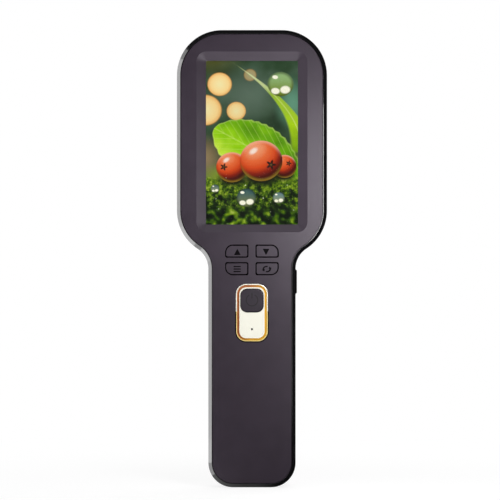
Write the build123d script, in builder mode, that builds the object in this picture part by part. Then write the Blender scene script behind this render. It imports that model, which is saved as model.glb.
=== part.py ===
from build123d import *
from math import atan2, degrees, sqrt
import os

# Handheld digital microscope with an upright screen, in millimetres.
# X runs across the body, Y from the screen side to the lens side, Z from the foot to the head.
# The origin is the middle of the flat foot, half-way through the body.

# Clearances
running_fit = 0.05  # radial, between a shaft and its bore
seam = 0.15  # between covers, glued or clamped pieces and their pockets
play = 0.3  # between pieces that move past each other

# Screen stack, from the front face inwards
screen_width = 49.8
screen_height = 88.6
cover_thickness = 2.0
window_lip = 0.8
window_thickness = 1.0
window_overlap = 1.6
window_corner_radius = 1.5
pocket_wall = 1.5
gasket_thickness = 0.5
gasket_width = 1.4
panel_thickness = 1.2
panel_border = 1.9
panel_ledge = 3.0
backlight_thickness = 1.6
backlight_border = 2.4
backlight_end_border = 3.7
bracket_thickness = 0.6
bracket_lip_height = 1.4
bracket_strip = 8.0
bracket_ear_reach = 4.0
bracket_screw_span = 53.0
recess_side = 5.1
recess_top = 4.9
recess_bottom = 4.2
recess_corner_radius = 5.5
opening_corner_radius = 0.5

# Battery
battery_diameter = 18.4
battery_length = 65.2
battery_cap_radius = 1.0
battery_room = 0.4
battery_pad_thickness = 1.1
battery_pad_width = 9.0
battery_pad_length = 52.0
pad_gap = 0.1
foot_to_battery = 8.0
cradle_rib_thickness = 1.6
cradle_rib_count = 3

# Keys
key_width = 12.6
key_height = 7.1
key_gap = 0.5
key_pitch_x = 16.4
key_pitch_z = 9.5
key_block_radius = 4.1
key_corner_radius = 1.0
key_proud = 0.2
key_travel = 0.35
key_edge = 0.25
key_stem_radius = 1.5
flange_thickness = 0.8
flange_overhang = 0.95
flange_gap = 0.1
stem_room = 0.15

# Gold trim plate with the power button
trim_width = 17.4
trim_height = 31.3
trim_corner_radius = 5.6
trim_pocket_depth = 0.8
trim_rim_width = 0.85
trim_rim_proud = 0.3
trim_groove_width = 0.8
trim_base_thickness = 0.3
trim_face_proud = 0.1
power_width = 12.7
power_height = 13.0
power_corner_radius = 3.8
power_top_margin = 2.55
power_proud = 0.5
power_edge = 0.5
power_travel = 0.5
indicator_margin = 6.75
indicator_radius = 0.55
indicator_recess = 0.5
indicator_flange_radius = 1.3
indicator_flange_thickness = 0.6

# Gaps along the face, from the foot to the head
battery_to_trim = 5.65
trim_to_keys = 4.6
keys_to_screen = 10.85
screen_to_top = 16.6

# Housing
wall = 2.0
head_side = 15.7
chin = 17.0
head_corner_radius = 24.4
neck_radius = 13.0
foot_corner_radius = 13.3
rim_bevel = 1.85
rim_edge = 0.12
cover_edge = 0.35
rear_edge_radius = 5.0
ledge_width = 1.2
ledge_thickness = 1.6
frame_depth = 13.0
lip_height = 1.5
lip_thickness = 0.8

# Housing screws
screw_inset = 7.1
screw_radius = 1.0
screw_head_radius = 1.9
screw_head_height = 1.3
screw_bite = 4.0
screw_well = 0.5
boss_radius = 2.75
boss_meeting_depth = 15.0
counterbore_floor = 3.0
counterbore_wall = 1.05

# Main board and what it carries
board_thickness = 1.2
board_standoff = 4.0
board_edge = 2.0
board_side_room = 2.1
board_top_room = 1.3
board_bottom_room = 5.0
board_boss_radius = 2.25
board_screw_radius = 0.8
board_screw_inset = 3.0
board_screw_head_radius = 1.5
board_screw_head_height = 0.9
key_switch_size = 4.5
key_switch_height = 1.5
key_plunger_radius = 1.2
power_switch_size = 6.0
power_switch_height = 2.0
power_plunger_radius = 1.7
power_stem_radius = 2.2
plunger_fit = 0.1
led_size = 1.6
led_height = 0.7

# Side key
side_key_length = 13.5
side_key_width = 3.6
side_key_proud = 0.8
side_key_bevel = 0.7
side_key_flange = 0.8
side_key_travel = 0.4
side_key_below_neck = 7.0
side_slot_radius = 1.0
side_switch_length = 6.0
side_switch_width = 2.4
side_switch_depth = 3.0
side_plunger_size = 1.4

# Charging port and card socket
port_width = 8.94
port_height = 3.26
port_depth = 7.3
port_shell = 0.3
port_recess = 0.3
port_tongue_width = 6.7
port_tongue_thickness = 0.7
port_above_board_end = 14.0
card_socket_width = 15.0
card_socket_length = 14.5
card_socket_height = 1.8
card_socket_skin = 0.3
card_slot_width = 11.6
card_slot_height = 1.2
card_slot_radius = 0.5
card_above_port = 18.0

# Connectors and ribbons
screen_ribbon_width = 12.0
camera_ribbon_width = 6.0
lamp_ribbon_width = 3.0
ribbon_thickness = 0.2
ribbon_bend_radius = 1.0
ribbon_notch_room = 1.0
ribbon_first_bend = 0.3
ribbon_second_bend = 0.65
camera_ribbon_drop = 2.5
camera_ribbon_slope = 3.0
ribbon_connector_depth = 3.2
ribbon_connector_height = 1.2
ribbon_connector_side = 1.5
battery_connector_width = 6.0
battery_connector_depth = 4.6
battery_connector_height = 3.2
lead_radius = 0.55
lead_pitch = 2.4

# Lens, focus ring and lamp ring, along the lens axis
barrel_radius = 8.0
barrel_length = 15.5
barrel_recess = 2.0
barrel_bore_radius = 5.0
rear_lens_radius = 5.6
rear_lens_thickness = 1.6
rear_lens_seat_depth = 3.5
front_lens_radius = 6.4
front_lens_thickness = 1.8
front_lens_seat_depth = 3.4
lens_crown = 0.5
retainer_width = 1.0
retainer_relief = 0.2
tube_wall = 1.95
tube_flange_radius = 16.5
tube_flange_thickness = 1.6
seat_pad_height = 1.4
seat_pad_radius = 17.2
mount_depth = 9.6
mount_base_size = 25.0
mount_base_thickness = 2.0
mount_base_corner_radius = 2.0
mount_screw_circle_radius = 13.4
mount_screw_radius = 0.9
mount_screw_head_radius = 1.7
mount_screw_head_height = 0.8
mount_screw_length = 2.4
mount_screw_count = 3
camera_board_thickness = 1.2
camera_screw_inset = 2.5
camera_screw_bite = 1.2
sensor_size = 7.0
sensor_height = 0.8
filter_size = 8.0
filter_thickness = 0.5
focus_travel = 4.0
focus_angle = 160.0
pin_radius = 1.0
pin_bite = 1.1
pin_reach = 1.7
groove_play = 0.1
groove_margin = 0.85
groove_floor = 0.2
groove_end_angle = 7.0
entry_angle = 13.0
ring_fit = 0.08
ring_radius = 22.0
ring_rim_thickness = 2.5
ring_sleeve_wall = 1.0
ring_web_thickness = 2.0
ring_edge = 0.8
grip_flute_radius = 0.9
grip_flute_count = 36
washer_thickness = 0.3
washer_width = 3.8
ring_end_play = 0.05
nose_gap = 0.2
nose_radius = 17.5
nose_thickness = 1.2
lamp_board_thickness = 0.8
lamp_board_inner_radius = 9.3
lamp_board_outer_radius = 16.2
lamp_circle_radius = 12.8
lamp_size = 2.8
lamp_height = 0.8
lamp_count = 8
hood_length = 16.0
hood_wall = 1.5
hood_taper = 1.5
hood_lip_radius = 0.45

# Places across the body, from the screen side
window_depth = cover_thickness + window_lip
body_thickness = (cover_thickness + battery_pad_thickness + pad_gap + battery_diameter
                  + battery_room + wall)
front_y = -body_thickness / 2
back_y = body_thickness / 2
cover_back_y = front_y + cover_thickness
window_front_y = front_y + window_depth
window_back_y = window_front_y + window_thickness
panel_front_y = window_back_y + gasket_thickness
panel_back_y = panel_front_y + panel_thickness
backlight_back_y = panel_back_y + backlight_thickness
bracket_back_y = backlight_back_y + bracket_thickness
board_front_y = cover_back_y + board_standoff
board_back_y = board_front_y + board_thickness
parting_y = front_y + frame_depth
boss_meeting_y = front_y + boss_meeting_depth
screw_seat_y = boss_meeting_y + counterbore_floor
rear_floor_y = back_y - wall
battery_y = rear_floor_y - battery_room - battery_diameter / 2
flange_front_y = cover_back_y + flange_gap
flange_back_y = flange_front_y + flange_thickness

# Places along the body, from the foot
block_height = key_pitch_z + key_height
block_width = key_pitch_x + key_width
battery_top_z = foot_to_battery + battery_length
trim_bottom_z = battery_top_z + battery_to_trim
trim_top_z = trim_bottom_z + trim_height
trim_z = (trim_bottom_z + trim_top_z) / 2
power_z = trim_top_z - power_top_margin - power_height / 2
indicator_z = trim_bottom_z + indicator_margin
keys_z = trim_top_z + trim_to_keys + block_height / 2
screen_bottom_z = keys_z + block_height / 2 + keys_to_screen
screen_top_z = screen_bottom_z + screen_height
screen_z = (screen_bottom_z + screen_top_z) / 2
body_length = screen_top_z + screen_to_top
lens_z = screen_z
board_bottom_z = indicator_z - board_bottom_room
board_top_z = screen_bottom_z - backlight_end_border - seam - bracket_thickness - board_top_room

# Places across the width
flange_edge_x = block_width / 2 - key_gap + flange_overhang
board_boss_x = flange_edge_x + play + board_boss_radius
board_half_width = board_boss_x + board_edge
handle_half = board_half_width + board_side_room + wall
head_half = screen_width / 2 + head_side

# Arc centres of the outline: rounded head, hollow neck and rounded foot
head_corner_x = head_half - head_corner_radius
head_high_z = body_length - head_corner_radius
head_low_z = screen_bottom_z - chin + head_corner_radius
neck_x = handle_half + neck_radius
neck_z = head_low_z - sqrt((head_corner_radius + neck_radius) ** 2 - (neck_x - head_corner_x) ** 2)
neck_angle = degrees(atan2(head_low_z - neck_z, head_corner_x - neck_x))
foot_corner_x = handle_half - foot_corner_radius

# Fastener places, as (x, z)
housing_screws = [
    (side * x, z)
    for side in (-1, 1)
    for x, z in (
        (handle_half - screw_inset, foot_corner_radius),
        (head_half - screw_inset, head_low_z),
        (head_half - screw_inset, head_high_z),
    )
]
board_screws_at = [
    (side * board_boss_x, z)
    for side in (-1, 1)
    for z in (board_bottom_z + board_screw_inset, board_top_z - board_screw_inset)
]
key_places = {
    "key_up": (-1, 1),
    "key_down": (1, 1),
    "key_menu": (-1, -1),
    "key_rotate": (1, -1),
}

# Lens stack, outwards from the seat inside the rear cover
seat_y = rear_floor_y - seat_pad_height
tube_start_y = seat_y - mount_depth
tube_inner_radius = barrel_radius + running_fit
tube_outer_radius = tube_inner_radius + tube_wall
ring_start_y = back_y + washer_thickness + ring_end_play
ring_width = focus_travel + 2 * (pin_radius + groove_play + groove_margin)
ring_end_y = ring_start_y + ring_width
pin_y = ring_start_y + pin_radius + groove_play + groove_margin
tube_end_y = ring_end_y + nose_gap
barrel_front_y = tube_end_y - barrel_recess
barrel_rear_y = barrel_front_y - barrel_length
nose_front_y = tube_end_y + nose_thickness
lamp_board_y = nose_front_y + lamp_board_thickness
hood_end_y = tube_end_y + hood_length
pin_tip_radius = tube_outer_radius + pin_reach
groove_radius = pin_tip_radius + groove_floor
ring_bore_radius = tube_outer_radius + ring_fit
hood_base_radius = nose_radius + seam
lens_axis = Axis((0, 0, lens_z), (0, 1, 0))
lens_section = Plane(origin=(0, 0, lens_z), x_dir=(0, 1, 0), z_dir=(1, 0, 0))


def facing(y):
    """Plane at depth y, drawn in X and Z, whose extrusions run towards the screen side."""
    return Plane.XZ.offset(-y)


def lens_plane(y):
    """Plane square to the lens axis at depth y, whose extrusions run outwards."""
    return Plane(origin=(0, y, lens_z), x_dir=(-1, 0, 0), z_dir=(0, 1, 0))


def body_outline(inset):
    """Outline of the body as a flat face, drawn this far inside its edge."""
    with BuildSketch() as outline:
        with BuildLine():
            Line((0, inset), (foot_corner_x, inset))
            CenterArc((foot_corner_x, foot_corner_radius), foot_corner_radius - inset, -90, 90)
            Line((handle_half - inset, foot_corner_radius), (handle_half - inset, neck_z))
            CenterArc((neck_x, neck_z), neck_radius + inset, 180, neck_angle - 180)
            CenterArc((head_corner_x, head_low_z), head_corner_radius - inset,
                      neck_angle - 180, 180 - neck_angle)
            Line((head_half - inset, head_low_z), (head_half - inset, head_high_z))
            CenterArc((head_corner_x, head_high_z), head_corner_radius - inset, 0, 90)
            Line((head_corner_x, body_length - inset), (0, body_length - inset))
            mirror(about=Plane.YZ)
        make_face()
    return outline.sketch


def outline_slab(inset, y_from, y_to, mode=Mode.ADD):
    """Plate with the body's outline between two depths."""
    with BuildSketch(facing(y_to)) as slab:
        add(body_outline(inset))
    extrude(slab.sketch, amount=y_to - y_from, mode=mode)


def outline_band(outer_inset, inner_inset, y_from, y_to):
    """Band that follows the body's outline between two depths."""
    with BuildSketch(facing(y_to)) as band:
        add(body_outline(outer_inset))
        add(body_outline(inner_inset), mode=Mode.SUBTRACT)
    extrude(band.sketch, amount=y_to - y_from)


def block(x, z, width, height, y_from, y_to, radius=0.0, mode=Mode.ADD):
    """Rectangular block between two depths, centred on (x, z), with rounded corners."""
    with BuildSketch(facing(y_to)) as footprint:
        with Locations((x, z)):
            if radius > 0:
                RectangleRounded(width, height, radius)
            else:
                Rectangle(width, height)
    extrude(footprint.sketch, amount=y_to - y_from, mode=mode)


def posts(places, radius, y_from, y_to, mode=Mode.ADD):
    """Round posts or holes between two depths, one at each (x, z)."""
    with BuildSketch(facing(y_to)) as circles:
        with Locations(*places):
            Circle(radius)
    extrude(circles.sketch, amount=y_to - y_from, mode=mode)


def turned(*profile, mode=Mode.ADD):
    """Solid turned about the lens axis from (depth, radius) points."""
    with BuildSketch(lens_section) as section:
        with BuildLine():
            Polyline(*profile, close=True)
        make_face()
    revolve(section.sketch, axis=lens_axis, mode=mode)


def key_outline(places, inset):
    """Keys of the four-key block, whose outermost corners share the block's large radius."""
    with Locations(*[(side * key_pitch_x / 2, keys_z + level * key_pitch_z / 2) for side, level in places]):
        RectangleRounded(key_width - 2 * inset, key_height - 2 * inset, key_corner_radius)
    with Locations((0, keys_z)):
        RectangleRounded(block_width - 2 * inset, block_height - 2 * inset,
                         key_block_radius - inset, mode=Mode.INTERSECT)


def key_point(name):
    """Middle of a key, as (x, z)."""
    side, level = key_places[name]
    return side * key_pitch_x / 2, keys_z + level * key_pitch_z / 2


# Front cover: face plate, screen recess, window pocket, key and button openings, posts behind
pocket_width = screen_width + 2 * (window_overlap + seam)
pocket_height = screen_height + 2 * (window_overlap + seam)
bracket_ear_x = screen_width / 2 + backlight_border + bracket_ear_reach
bracket_ear_places = [(side * bracket_ear_x, screen_z + level * bracket_screw_span / 2)
                      for side in (-1, 1) for level in (-1, 1)]
recess_width = screen_width + 2 * recess_side
recess_bottom_z = screen_bottom_z - recess_bottom
recess_top_z = screen_top_z + recess_top

with BuildPart() as front_cover:
    outline_slab(wall + seam, front_y, cover_back_y)
    chamfer(front_cover.faces().sort_by(Axis.Y)[0].edges(), cover_edge)
    block(0, screen_z, pocket_width + 2 * pocket_wall, pocket_height + 2 * pocket_wall,
          cover_back_y, window_back_y, radius=window_corner_radius)
    block(0, screen_z, pocket_width, pocket_height, window_front_y, window_back_y, mode=Mode.SUBTRACT)
    with BuildSketch(facing(cover_back_y)):
        with Locations((0, screen_z)):
            RectangleRounded(screen_width, screen_height, opening_corner_radius)
    with BuildSketch(facing(front_y)):
        with Locations((0, (recess_bottom_z + recess_top_z) / 2)):
            RectangleRounded(recess_width, recess_top_z - recess_bottom_z, recess_corner_radius)
    loft(mode=Mode.SUBTRACT)
    block(0, screen_z, screen_width, screen_height, cover_back_y, window_front_y,
          radius=opening_corner_radius, mode=Mode.SUBTRACT)
    with BuildSketch(facing(cover_back_y)):
        key_outline(key_places.values(), 0)
    extrude(amount=cover_thickness, mode=Mode.SUBTRACT)
    block(0, trim_z, trim_width + 2 * seam, trim_height + 2 * seam, front_y, front_y + trim_pocket_depth,
          radius=trim_corner_radius, mode=Mode.SUBTRACT)
    block(0, power_z, power_width, power_height, front_y, cover_back_y,
          radius=power_corner_radius, mode=Mode.SUBTRACT)
    posts([(0, indicator_z)], indicator_radius + seam, front_y, cover_back_y, mode=Mode.SUBTRACT)
    posts(housing_screws, boss_radius, cover_back_y, boss_meeting_y)
    posts(housing_screws, screw_radius + running_fit, boss_meeting_y - screw_bite, boss_meeting_y,
          mode=Mode.SUBTRACT)
    posts(board_screws_at, board_boss_radius, cover_back_y, board_front_y)
    posts(board_screws_at, board_screw_radius + running_fit, cover_back_y + screw_well, board_front_y,
          mode=Mode.SUBTRACT)
    posts(bracket_ear_places, board_boss_radius, cover_back_y, backlight_back_y)
    posts(bracket_ear_places, board_screw_radius + running_fit, cover_back_y + screw_well, backlight_back_y,
          mode=Mode.SUBTRACT)

# Middle frame: rounded band round the whole body, with the ledge that the front cover rests on
side_key_z = neck_z - side_key_below_neck
side_switch_y = board_back_y + side_switch_width / 2
port_z = board_bottom_z + port_above_board_end
port_y = board_back_y + port_height / 2
card_z = port_z + card_above_port
card_y = board_back_y + card_socket_height / 2

with BuildPart() as middle_frame:
    outline_slab(0, front_y, parting_y)
    chamfer(middle_frame.faces().sort_by(Axis.Y)[0].edges(), rim_bevel)
    rim_edges = middle_frame.edges().filter_by(lambda edge: abs((edge @ 0).Y - (edge @ 1).Y) < rim_edge)
    bevel_edges = rim_edges.group_by(Axis.Y)
    fillet(bevel_edges[0] + bevel_edges[1], rim_edge)
    outline_slab(wall, front_y, parting_y, mode=Mode.SUBTRACT)
    outline_band(wall, wall + ledge_width, cover_back_y, cover_back_y + ledge_thickness)
    with BuildSketch(Plane.YZ.offset(handle_half - wall)):
        with Locations((side_switch_y, side_key_z)):
            RectangleRounded(side_key_width + 2 * play, side_key_length + 2 * play, side_slot_radius)
    extrude(amount=wall, mode=Mode.SUBTRACT)
    with BuildSketch(Plane.YZ.offset(-handle_half)):
        with Locations((port_y, port_z)):
            SlotOverall(port_width + 2 * play, port_height + 2 * play, rotation=90)
        with Locations((card_y, card_z)):
            RectangleRounded(card_slot_height + play, card_slot_width + play, card_slot_radius)
    extrude(amount=wall, mode=Mode.SUBTRACT)

# Rear cover: rounded tub with a locating lip, screw wells, battery cradle and the lens seat
with BuildPart() as rear_hollow:
    outline_slab(wall, parting_y, rear_floor_y)
    fillet(rear_hollow.faces().sort_by(Axis.Y)[-1].edges(), rear_edge_radius - wall)

cradle_z = [foot_to_battery + battery_length * (0.5 + step) / cradle_rib_count
            for step in range(cradle_rib_count)]
end_rib_z = [foot_to_battery - play - cradle_rib_thickness / 2,
             battery_top_z + play + cradle_rib_thickness / 2]
cradle_width = battery_diameter + 2 * (battery_room + cradle_rib_thickness)
counterbore_radius = screw_head_radius + play

with BuildPart() as rear_cover:
    outline_slab(0, parting_y, back_y)
    fillet(rear_cover.faces().sort_by(Axis.Y)[-1].edges(), rear_edge_radius)
    add(rear_hollow.part, mode=Mode.SUBTRACT)
    outline_band(wall - seam, wall + seam + lip_thickness, parting_y, parting_y + lip_height)
    outline_band(wall + seam, wall + seam + lip_thickness, parting_y - lip_height, parting_y)
    posts(housing_screws, counterbore_radius + counterbore_wall, boss_meeting_y, rear_floor_y)
    posts(housing_screws, counterbore_radius, screw_seat_y, back_y, mode=Mode.SUBTRACT)
    posts(housing_screws, screw_radius + seam, boss_meeting_y, screw_seat_y, mode=Mode.SUBTRACT)
    with BuildSketch(Plane.XY.offset(cradle_z[0] - cradle_rib_thickness / 2)) as rib:
        with Locations((0, (battery_y + rear_floor_y) / 2)):
            Rectangle(cradle_width, rear_floor_y - battery_y)
        with Locations((0, battery_y)):
            Circle(battery_diameter / 2 + battery_room / 2, mode=Mode.SUBTRACT)
    with Locations(*[(0, 0, z - cradle_z[0]) for z in cradle_z]):
        add(extrude(rib.sketch, amount=cradle_rib_thickness, mode=Mode.PRIVATE))
    for z in end_rib_z:
        block(0, z, cradle_width, cradle_rib_thickness, (battery_y + rear_floor_y) / 2, rear_floor_y)
    posts([(0, lens_z)], seat_pad_radius, seat_y, rear_floor_y)
    posts([(0, lens_z)], tube_outer_radius + seam, seat_y, back_y, mode=Mode.SUBTRACT)
    with BuildSketch(lens_plane(seat_y)):
        with PolarLocations(mount_screw_circle_radius, mount_screw_count, start_angle=90):
            Circle(mount_screw_radius + running_fit)
    extrude(amount=mount_screw_length + play, mode=Mode.SUBTRACT)

with BuildPart() as rear_screws:
    posts(housing_screws, screw_head_radius, screw_seat_y, screw_seat_y + screw_head_height)
    posts(housing_screws, screw_radius, boss_meeting_y - screw_bite + play, screw_seat_y)

# Screen
with BuildPart() as screen_window:
    block(0, screen_z, pocket_width - 2 * seam, pocket_height - 2 * seam, window_front_y, window_back_y)

with BuildPart() as window_gasket:
    block(0, screen_z, pocket_width - 2 * seam, pocket_height - 2 * seam, window_back_y, panel_front_y)
    block(0, screen_z, pocket_width - 2 * (seam + gasket_width), pocket_height - 2 * (seam + gasket_width),
          window_back_y, panel_front_y, mode=Mode.SUBTRACT)

panel_top_z = screen_top_z + panel_border
panel_bottom_z = screen_bottom_z - panel_ledge
with BuildPart() as lcd_panel:
    block(0, (panel_top_z + panel_bottom_z) / 2, screen_width + 2 * panel_border,
          panel_top_z - panel_bottom_z, panel_front_y, panel_back_y)

backlight_width = screen_width + 2 * backlight_border
backlight_height = screen_height + 2 * backlight_end_border
with BuildPart() as backlight_unit:
    block(0, screen_z, backlight_width, backlight_height, panel_back_y, backlight_back_y)

tray_width = backlight_width + 2 * (seam + bracket_thickness)
tray_height = backlight_height + 2 * (seam + bracket_thickness)
tray_front_y = backlight_back_y - bracket_lip_height
bracket_hole_height = (backlight_height - 3 * bracket_strip) / 2
ear_length = bracket_ear_reach + 2 * board_boss_radius
ear_middle_x = bracket_ear_x - bracket_ear_reach / 2
with BuildPart() as lcd_bracket:
    block(0, screen_z, tray_width, tray_height, tray_front_y, bracket_back_y)
    block(0, screen_z, backlight_width + 2 * seam, backlight_height + 2 * seam,
          tray_front_y, backlight_back_y, mode=Mode.SUBTRACT)
    for side in (-1, 1):
        block(0, screen_z + side * (bracket_hole_height + bracket_strip) / 2,
              backlight_width - 2 * bracket_strip, bracket_hole_height,
              backlight_back_y, bracket_back_y, radius=window_corner_radius, mode=Mode.SUBTRACT)
        for level in (-1, 1):
            block(side * ear_middle_x, screen_z + level * bracket_screw_span / 2, ear_length,
                  2 * board_boss_radius, backlight_back_y, bracket_back_y, radius=board_boss_radius - seam)
    posts(bracket_ear_places, board_screw_radius + seam, backlight_back_y, bracket_back_y,
          mode=Mode.SUBTRACT)
    block(0, screen_z - tray_height / 2, screen_ribbon_width + 2 * ribbon_notch_room,
          2 * (bracket_thickness + seam),
          tray_front_y, backlight_back_y, mode=Mode.SUBTRACT)

with BuildPart() as bracket_screws:
    posts(bracket_ear_places, board_screw_head_radius, bracket_back_y, bracket_back_y + board_screw_head_height)
    posts(bracket_ear_places, board_screw_radius, cover_back_y + screw_well + play, bracket_back_y)

# Main board, with its parts on both faces
with BuildPart() as main_board:
    block(0, (board_bottom_z + board_top_z) / 2, 2 * board_half_width, board_top_z - board_bottom_z,
          board_front_y, board_back_y, radius=board_edge)
    posts(board_screws_at, board_screw_radius + seam, board_front_y, board_back_y, mode=Mode.SUBTRACT)

with BuildPart() as board_screws:
    posts(board_screws_at, board_screw_head_radius, board_back_y, board_back_y + board_screw_head_height)
    posts(board_screws_at, board_screw_radius, cover_back_y + screw_well + play, board_back_y)

# Chips on the back of the board: x, distance above its lower end, width, height, thickness
chips = [
    (5.0, 17.0, 11.0, 11.0, 1.2),
    (6.5, 31.0, 8.0, 9.0, 1.0),
    (-7.5, 7.5, 4.0, 4.0, 1.8),
    (12.0, 6.5, 5.0, 4.0, 1.0),
    (6.5, 42.5, 5.0, 5.0, 0.9),
]
with BuildPart() as board_chips:
    for x, up, width, height, thickness in chips:
        block(x, board_bottom_z + up, width, height, board_back_y, board_back_y + thickness)

# Four keys, each on the plunger of its own switch
switch_top_y = board_front_y - key_switch_height
key_plunger_top_y = switch_top_y - key_travel - stem_room
key_cap_width = key_width - 2 * key_gap
key_cap_height = key_height - 2 * key_gap
keys = {}
key_plungers = {}
for name, place in key_places.items():
    x, z = key_point(name)
    with BuildPart() as keys[name]:
        with BuildSketch(facing(flange_front_y)):
            key_outline([place], key_gap)
        extrude(amount=cover_thickness + flange_gap + key_proud)
        chamfer(keys[name].faces().sort_by(Axis.Y)[0].edges(), key_edge)
        block(x, z, key_cap_width + 2 * flange_overhang, key_cap_height + 2 * flange_overhang,
              flange_front_y, flange_back_y, radius=key_corner_radius)
        posts([(x, z)], key_stem_radius, flange_back_y, key_plunger_top_y)
    with BuildPart() as key_plungers[name + "_plunger"]:
        posts([(x, z)], key_plunger_radius, key_plunger_top_y, board_front_y - key_travel - plunger_fit)

key_points = [key_point(name) for name in key_places]
with BuildPart() as key_switches:
    for x, z in key_points:
        block(x, z, key_switch_size, key_switch_size, switch_top_y, board_front_y)
    posts(key_points, key_plunger_radius + plunger_fit, switch_top_y, board_front_y, mode=Mode.SUBTRACT)

# Gold trim plate: raised rim, groove and inner plate
trim_floor_y = front_y + trim_pocket_depth
groove_y = trim_floor_y - trim_base_thickness
trim_plate_inset = trim_rim_width + trim_groove_width
with BuildPart() as capsule_trim:
    block(0, trim_z, trim_width, trim_height, front_y - trim_rim_proud, trim_floor_y,
          radius=trim_corner_radius)
    fillet(capsule_trim.faces().sort_by(Axis.Y)[0].edges(), trim_rim_proud)
    block(0, trim_z, trim_width - 2 * trim_rim_width, trim_height - 2 * trim_rim_width,
          front_y - trim_rim_proud, groove_y, radius=trim_corner_radius - trim_rim_width,
          mode=Mode.SUBTRACT)
    block(0, trim_z, trim_width - 2 * trim_plate_inset, trim_height - 2 * trim_plate_inset,
          front_y - trim_face_proud, groove_y, radius=trim_corner_radius - trim_plate_inset)
    block(0, power_z, power_width, power_height, front_y - trim_face_proud, trim_floor_y,
          radius=power_corner_radius, mode=Mode.SUBTRACT)
    posts([(0, indicator_z)], indicator_radius + running_fit, front_y - trim_face_proud, trim_floor_y,
          mode=Mode.SUBTRACT)

# Power button on the plunger of its switch
power_switch_top_y = board_front_y - power_switch_height
power_plunger_top_y = power_switch_top_y - power_travel - stem_room
power_cap_width = power_width - 2 * play
power_cap_height = power_height - 2 * play
with BuildPart() as power_button:
    block(0, power_z, power_cap_width, power_cap_height, front_y - power_proud, flange_front_y,
          radius=power_corner_radius - play)
    fillet(power_button.faces().sort_by(Axis.Y)[0].edges(), power_edge)
    block(0, power_z, power_cap_width + 2 * flange_overhang, power_cap_height + 2 * flange_overhang,
          flange_front_y, flange_back_y, radius=power_corner_radius)
    posts([(0, power_z)], power_stem_radius, flange_back_y, power_plunger_top_y)

with BuildPart() as power_plunger:
    posts([(0, power_z)], power_plunger_radius, power_plunger_top_y,
          board_front_y - power_travel - plunger_fit)

with BuildPart() as power_switch:
    block(0, power_z, power_switch_size, power_switch_size, power_switch_top_y, board_front_y)
    posts([(0, power_z)], power_plunger_radius + plunger_fit, power_switch_top_y, board_front_y,
          mode=Mode.SUBTRACT)

# Indicator lamp under the pinhole
led_top_y = board_front_y - led_height
with BuildPart() as indicator_led:
    block(0, indicator_z, led_size, led_size, led_top_y, board_front_y)

with BuildPart() as indicator_light_pipe:
    posts([(0, indicator_z)], indicator_radius, front_y - trim_face_proud + indicator_recess,
          led_top_y - plunger_fit)
    posts([(0, indicator_z)], indicator_flange_radius, cover_back_y,
          cover_back_y + indicator_flange_thickness)

# Side key in the frame's slot, pressing a switch at the edge of the board
side_flange_x = handle_half - wall - flange_gap
side_switch_x = board_half_width - flange_gap
side_plunger_tip_x = side_switch_x + side_key_travel + stem_room
side_bore_end_x = side_switch_x - side_switch_depth + side_key_flange
with BuildPart() as side_key:
    with BuildSketch(Plane.YZ.offset(side_flange_x)):
        with Locations((side_switch_y, side_key_z)):
            RectangleRounded(side_key_width, side_key_length, side_key_bevel)
    extrude(amount=wall + flange_gap + side_key_proud)
    chamfer(side_key.faces().sort_by(Axis.X)[-1].edges(), side_key_bevel)
    with BuildSketch(Plane.YZ.offset(side_flange_x - flange_thickness)):
        with Locations((side_switch_y, side_key_z)):
            RectangleRounded(side_key_width + 2 * side_key_flange, side_key_length + 2 * side_key_flange,
                             side_key_bevel)
    extrude(amount=flange_thickness)
    with BuildSketch(Plane.YZ.offset(side_plunger_tip_x)):
        with Locations((side_switch_y, side_key_z)):
            Rectangle(side_plunger_size, side_plunger_size)
    extrude(amount=side_flange_x - flange_thickness - side_plunger_tip_x)

with BuildPart() as side_plunger:
    with BuildSketch(Plane.YZ.offset(side_bore_end_x + side_key_travel + plunger_fit)):
        with Locations((side_switch_y, side_key_z)):
            Rectangle(side_plunger_size, side_plunger_size)
    extrude(amount=side_plunger_tip_x - side_bore_end_x - side_key_travel - plunger_fit)

with BuildPart() as side_switch:
    with BuildSketch(Plane.YZ.offset(side_switch_x)):
        with Locations((side_switch_y, side_key_z)):
            Rectangle(side_switch_width, side_switch_length)
    extrude(amount=-side_switch_depth)
    with BuildSketch(Plane.YZ.offset(side_switch_x)):
        with Locations((side_switch_y, side_key_z)):
            Rectangle(side_plunger_size + 2 * plunger_fit, side_plunger_size + 2 * plunger_fit)
    extrude(amount=side_bore_end_x - side_switch_x, mode=Mode.SUBTRACT)

# Charging port: open shell with a tongue, mouth in the left wall
port_mouth_x = -handle_half + port_recess
with BuildPart() as usb_port:
    with BuildSketch(Plane.YZ.offset(port_mouth_x)):
        with Locations((port_y, port_z)):
            SlotOverall(port_width, port_height, rotation=90)
    extrude(amount=port_depth)
    with BuildSketch(Plane.YZ.offset(port_mouth_x)):
        with Locations((port_y, port_z)):
            SlotOverall(port_width - 2 * port_shell, port_height - 2 * port_shell, rotation=90)
    extrude(amount=port_depth - port_height / 2, mode=Mode.SUBTRACT)
    with BuildSketch(Plane.YZ.offset(port_mouth_x + port_depth)):
        with Locations((port_y, port_z)):
            Rectangle(port_tongue_thickness, port_tongue_width)
    extrude(amount=port_shell - port_depth)

# Memory card socket behind the slot in the left wall
card_mouth_x = -board_half_width - board_side_room / 2
with BuildPart() as card_socket:
    with BuildSketch(Plane.YZ.offset(card_mouth_x)):
        with Locations((card_y, card_z)):
            Rectangle(card_socket_height, card_socket_width)
    extrude(amount=card_socket_length)
    with BuildSketch(Plane.YZ.offset(card_mouth_x)):
        with Locations((card_y, card_z)):
            Rectangle(card_slot_height, card_slot_width)
    extrude(amount=card_socket_length - card_socket_skin, mode=Mode.SUBTRACT)

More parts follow.
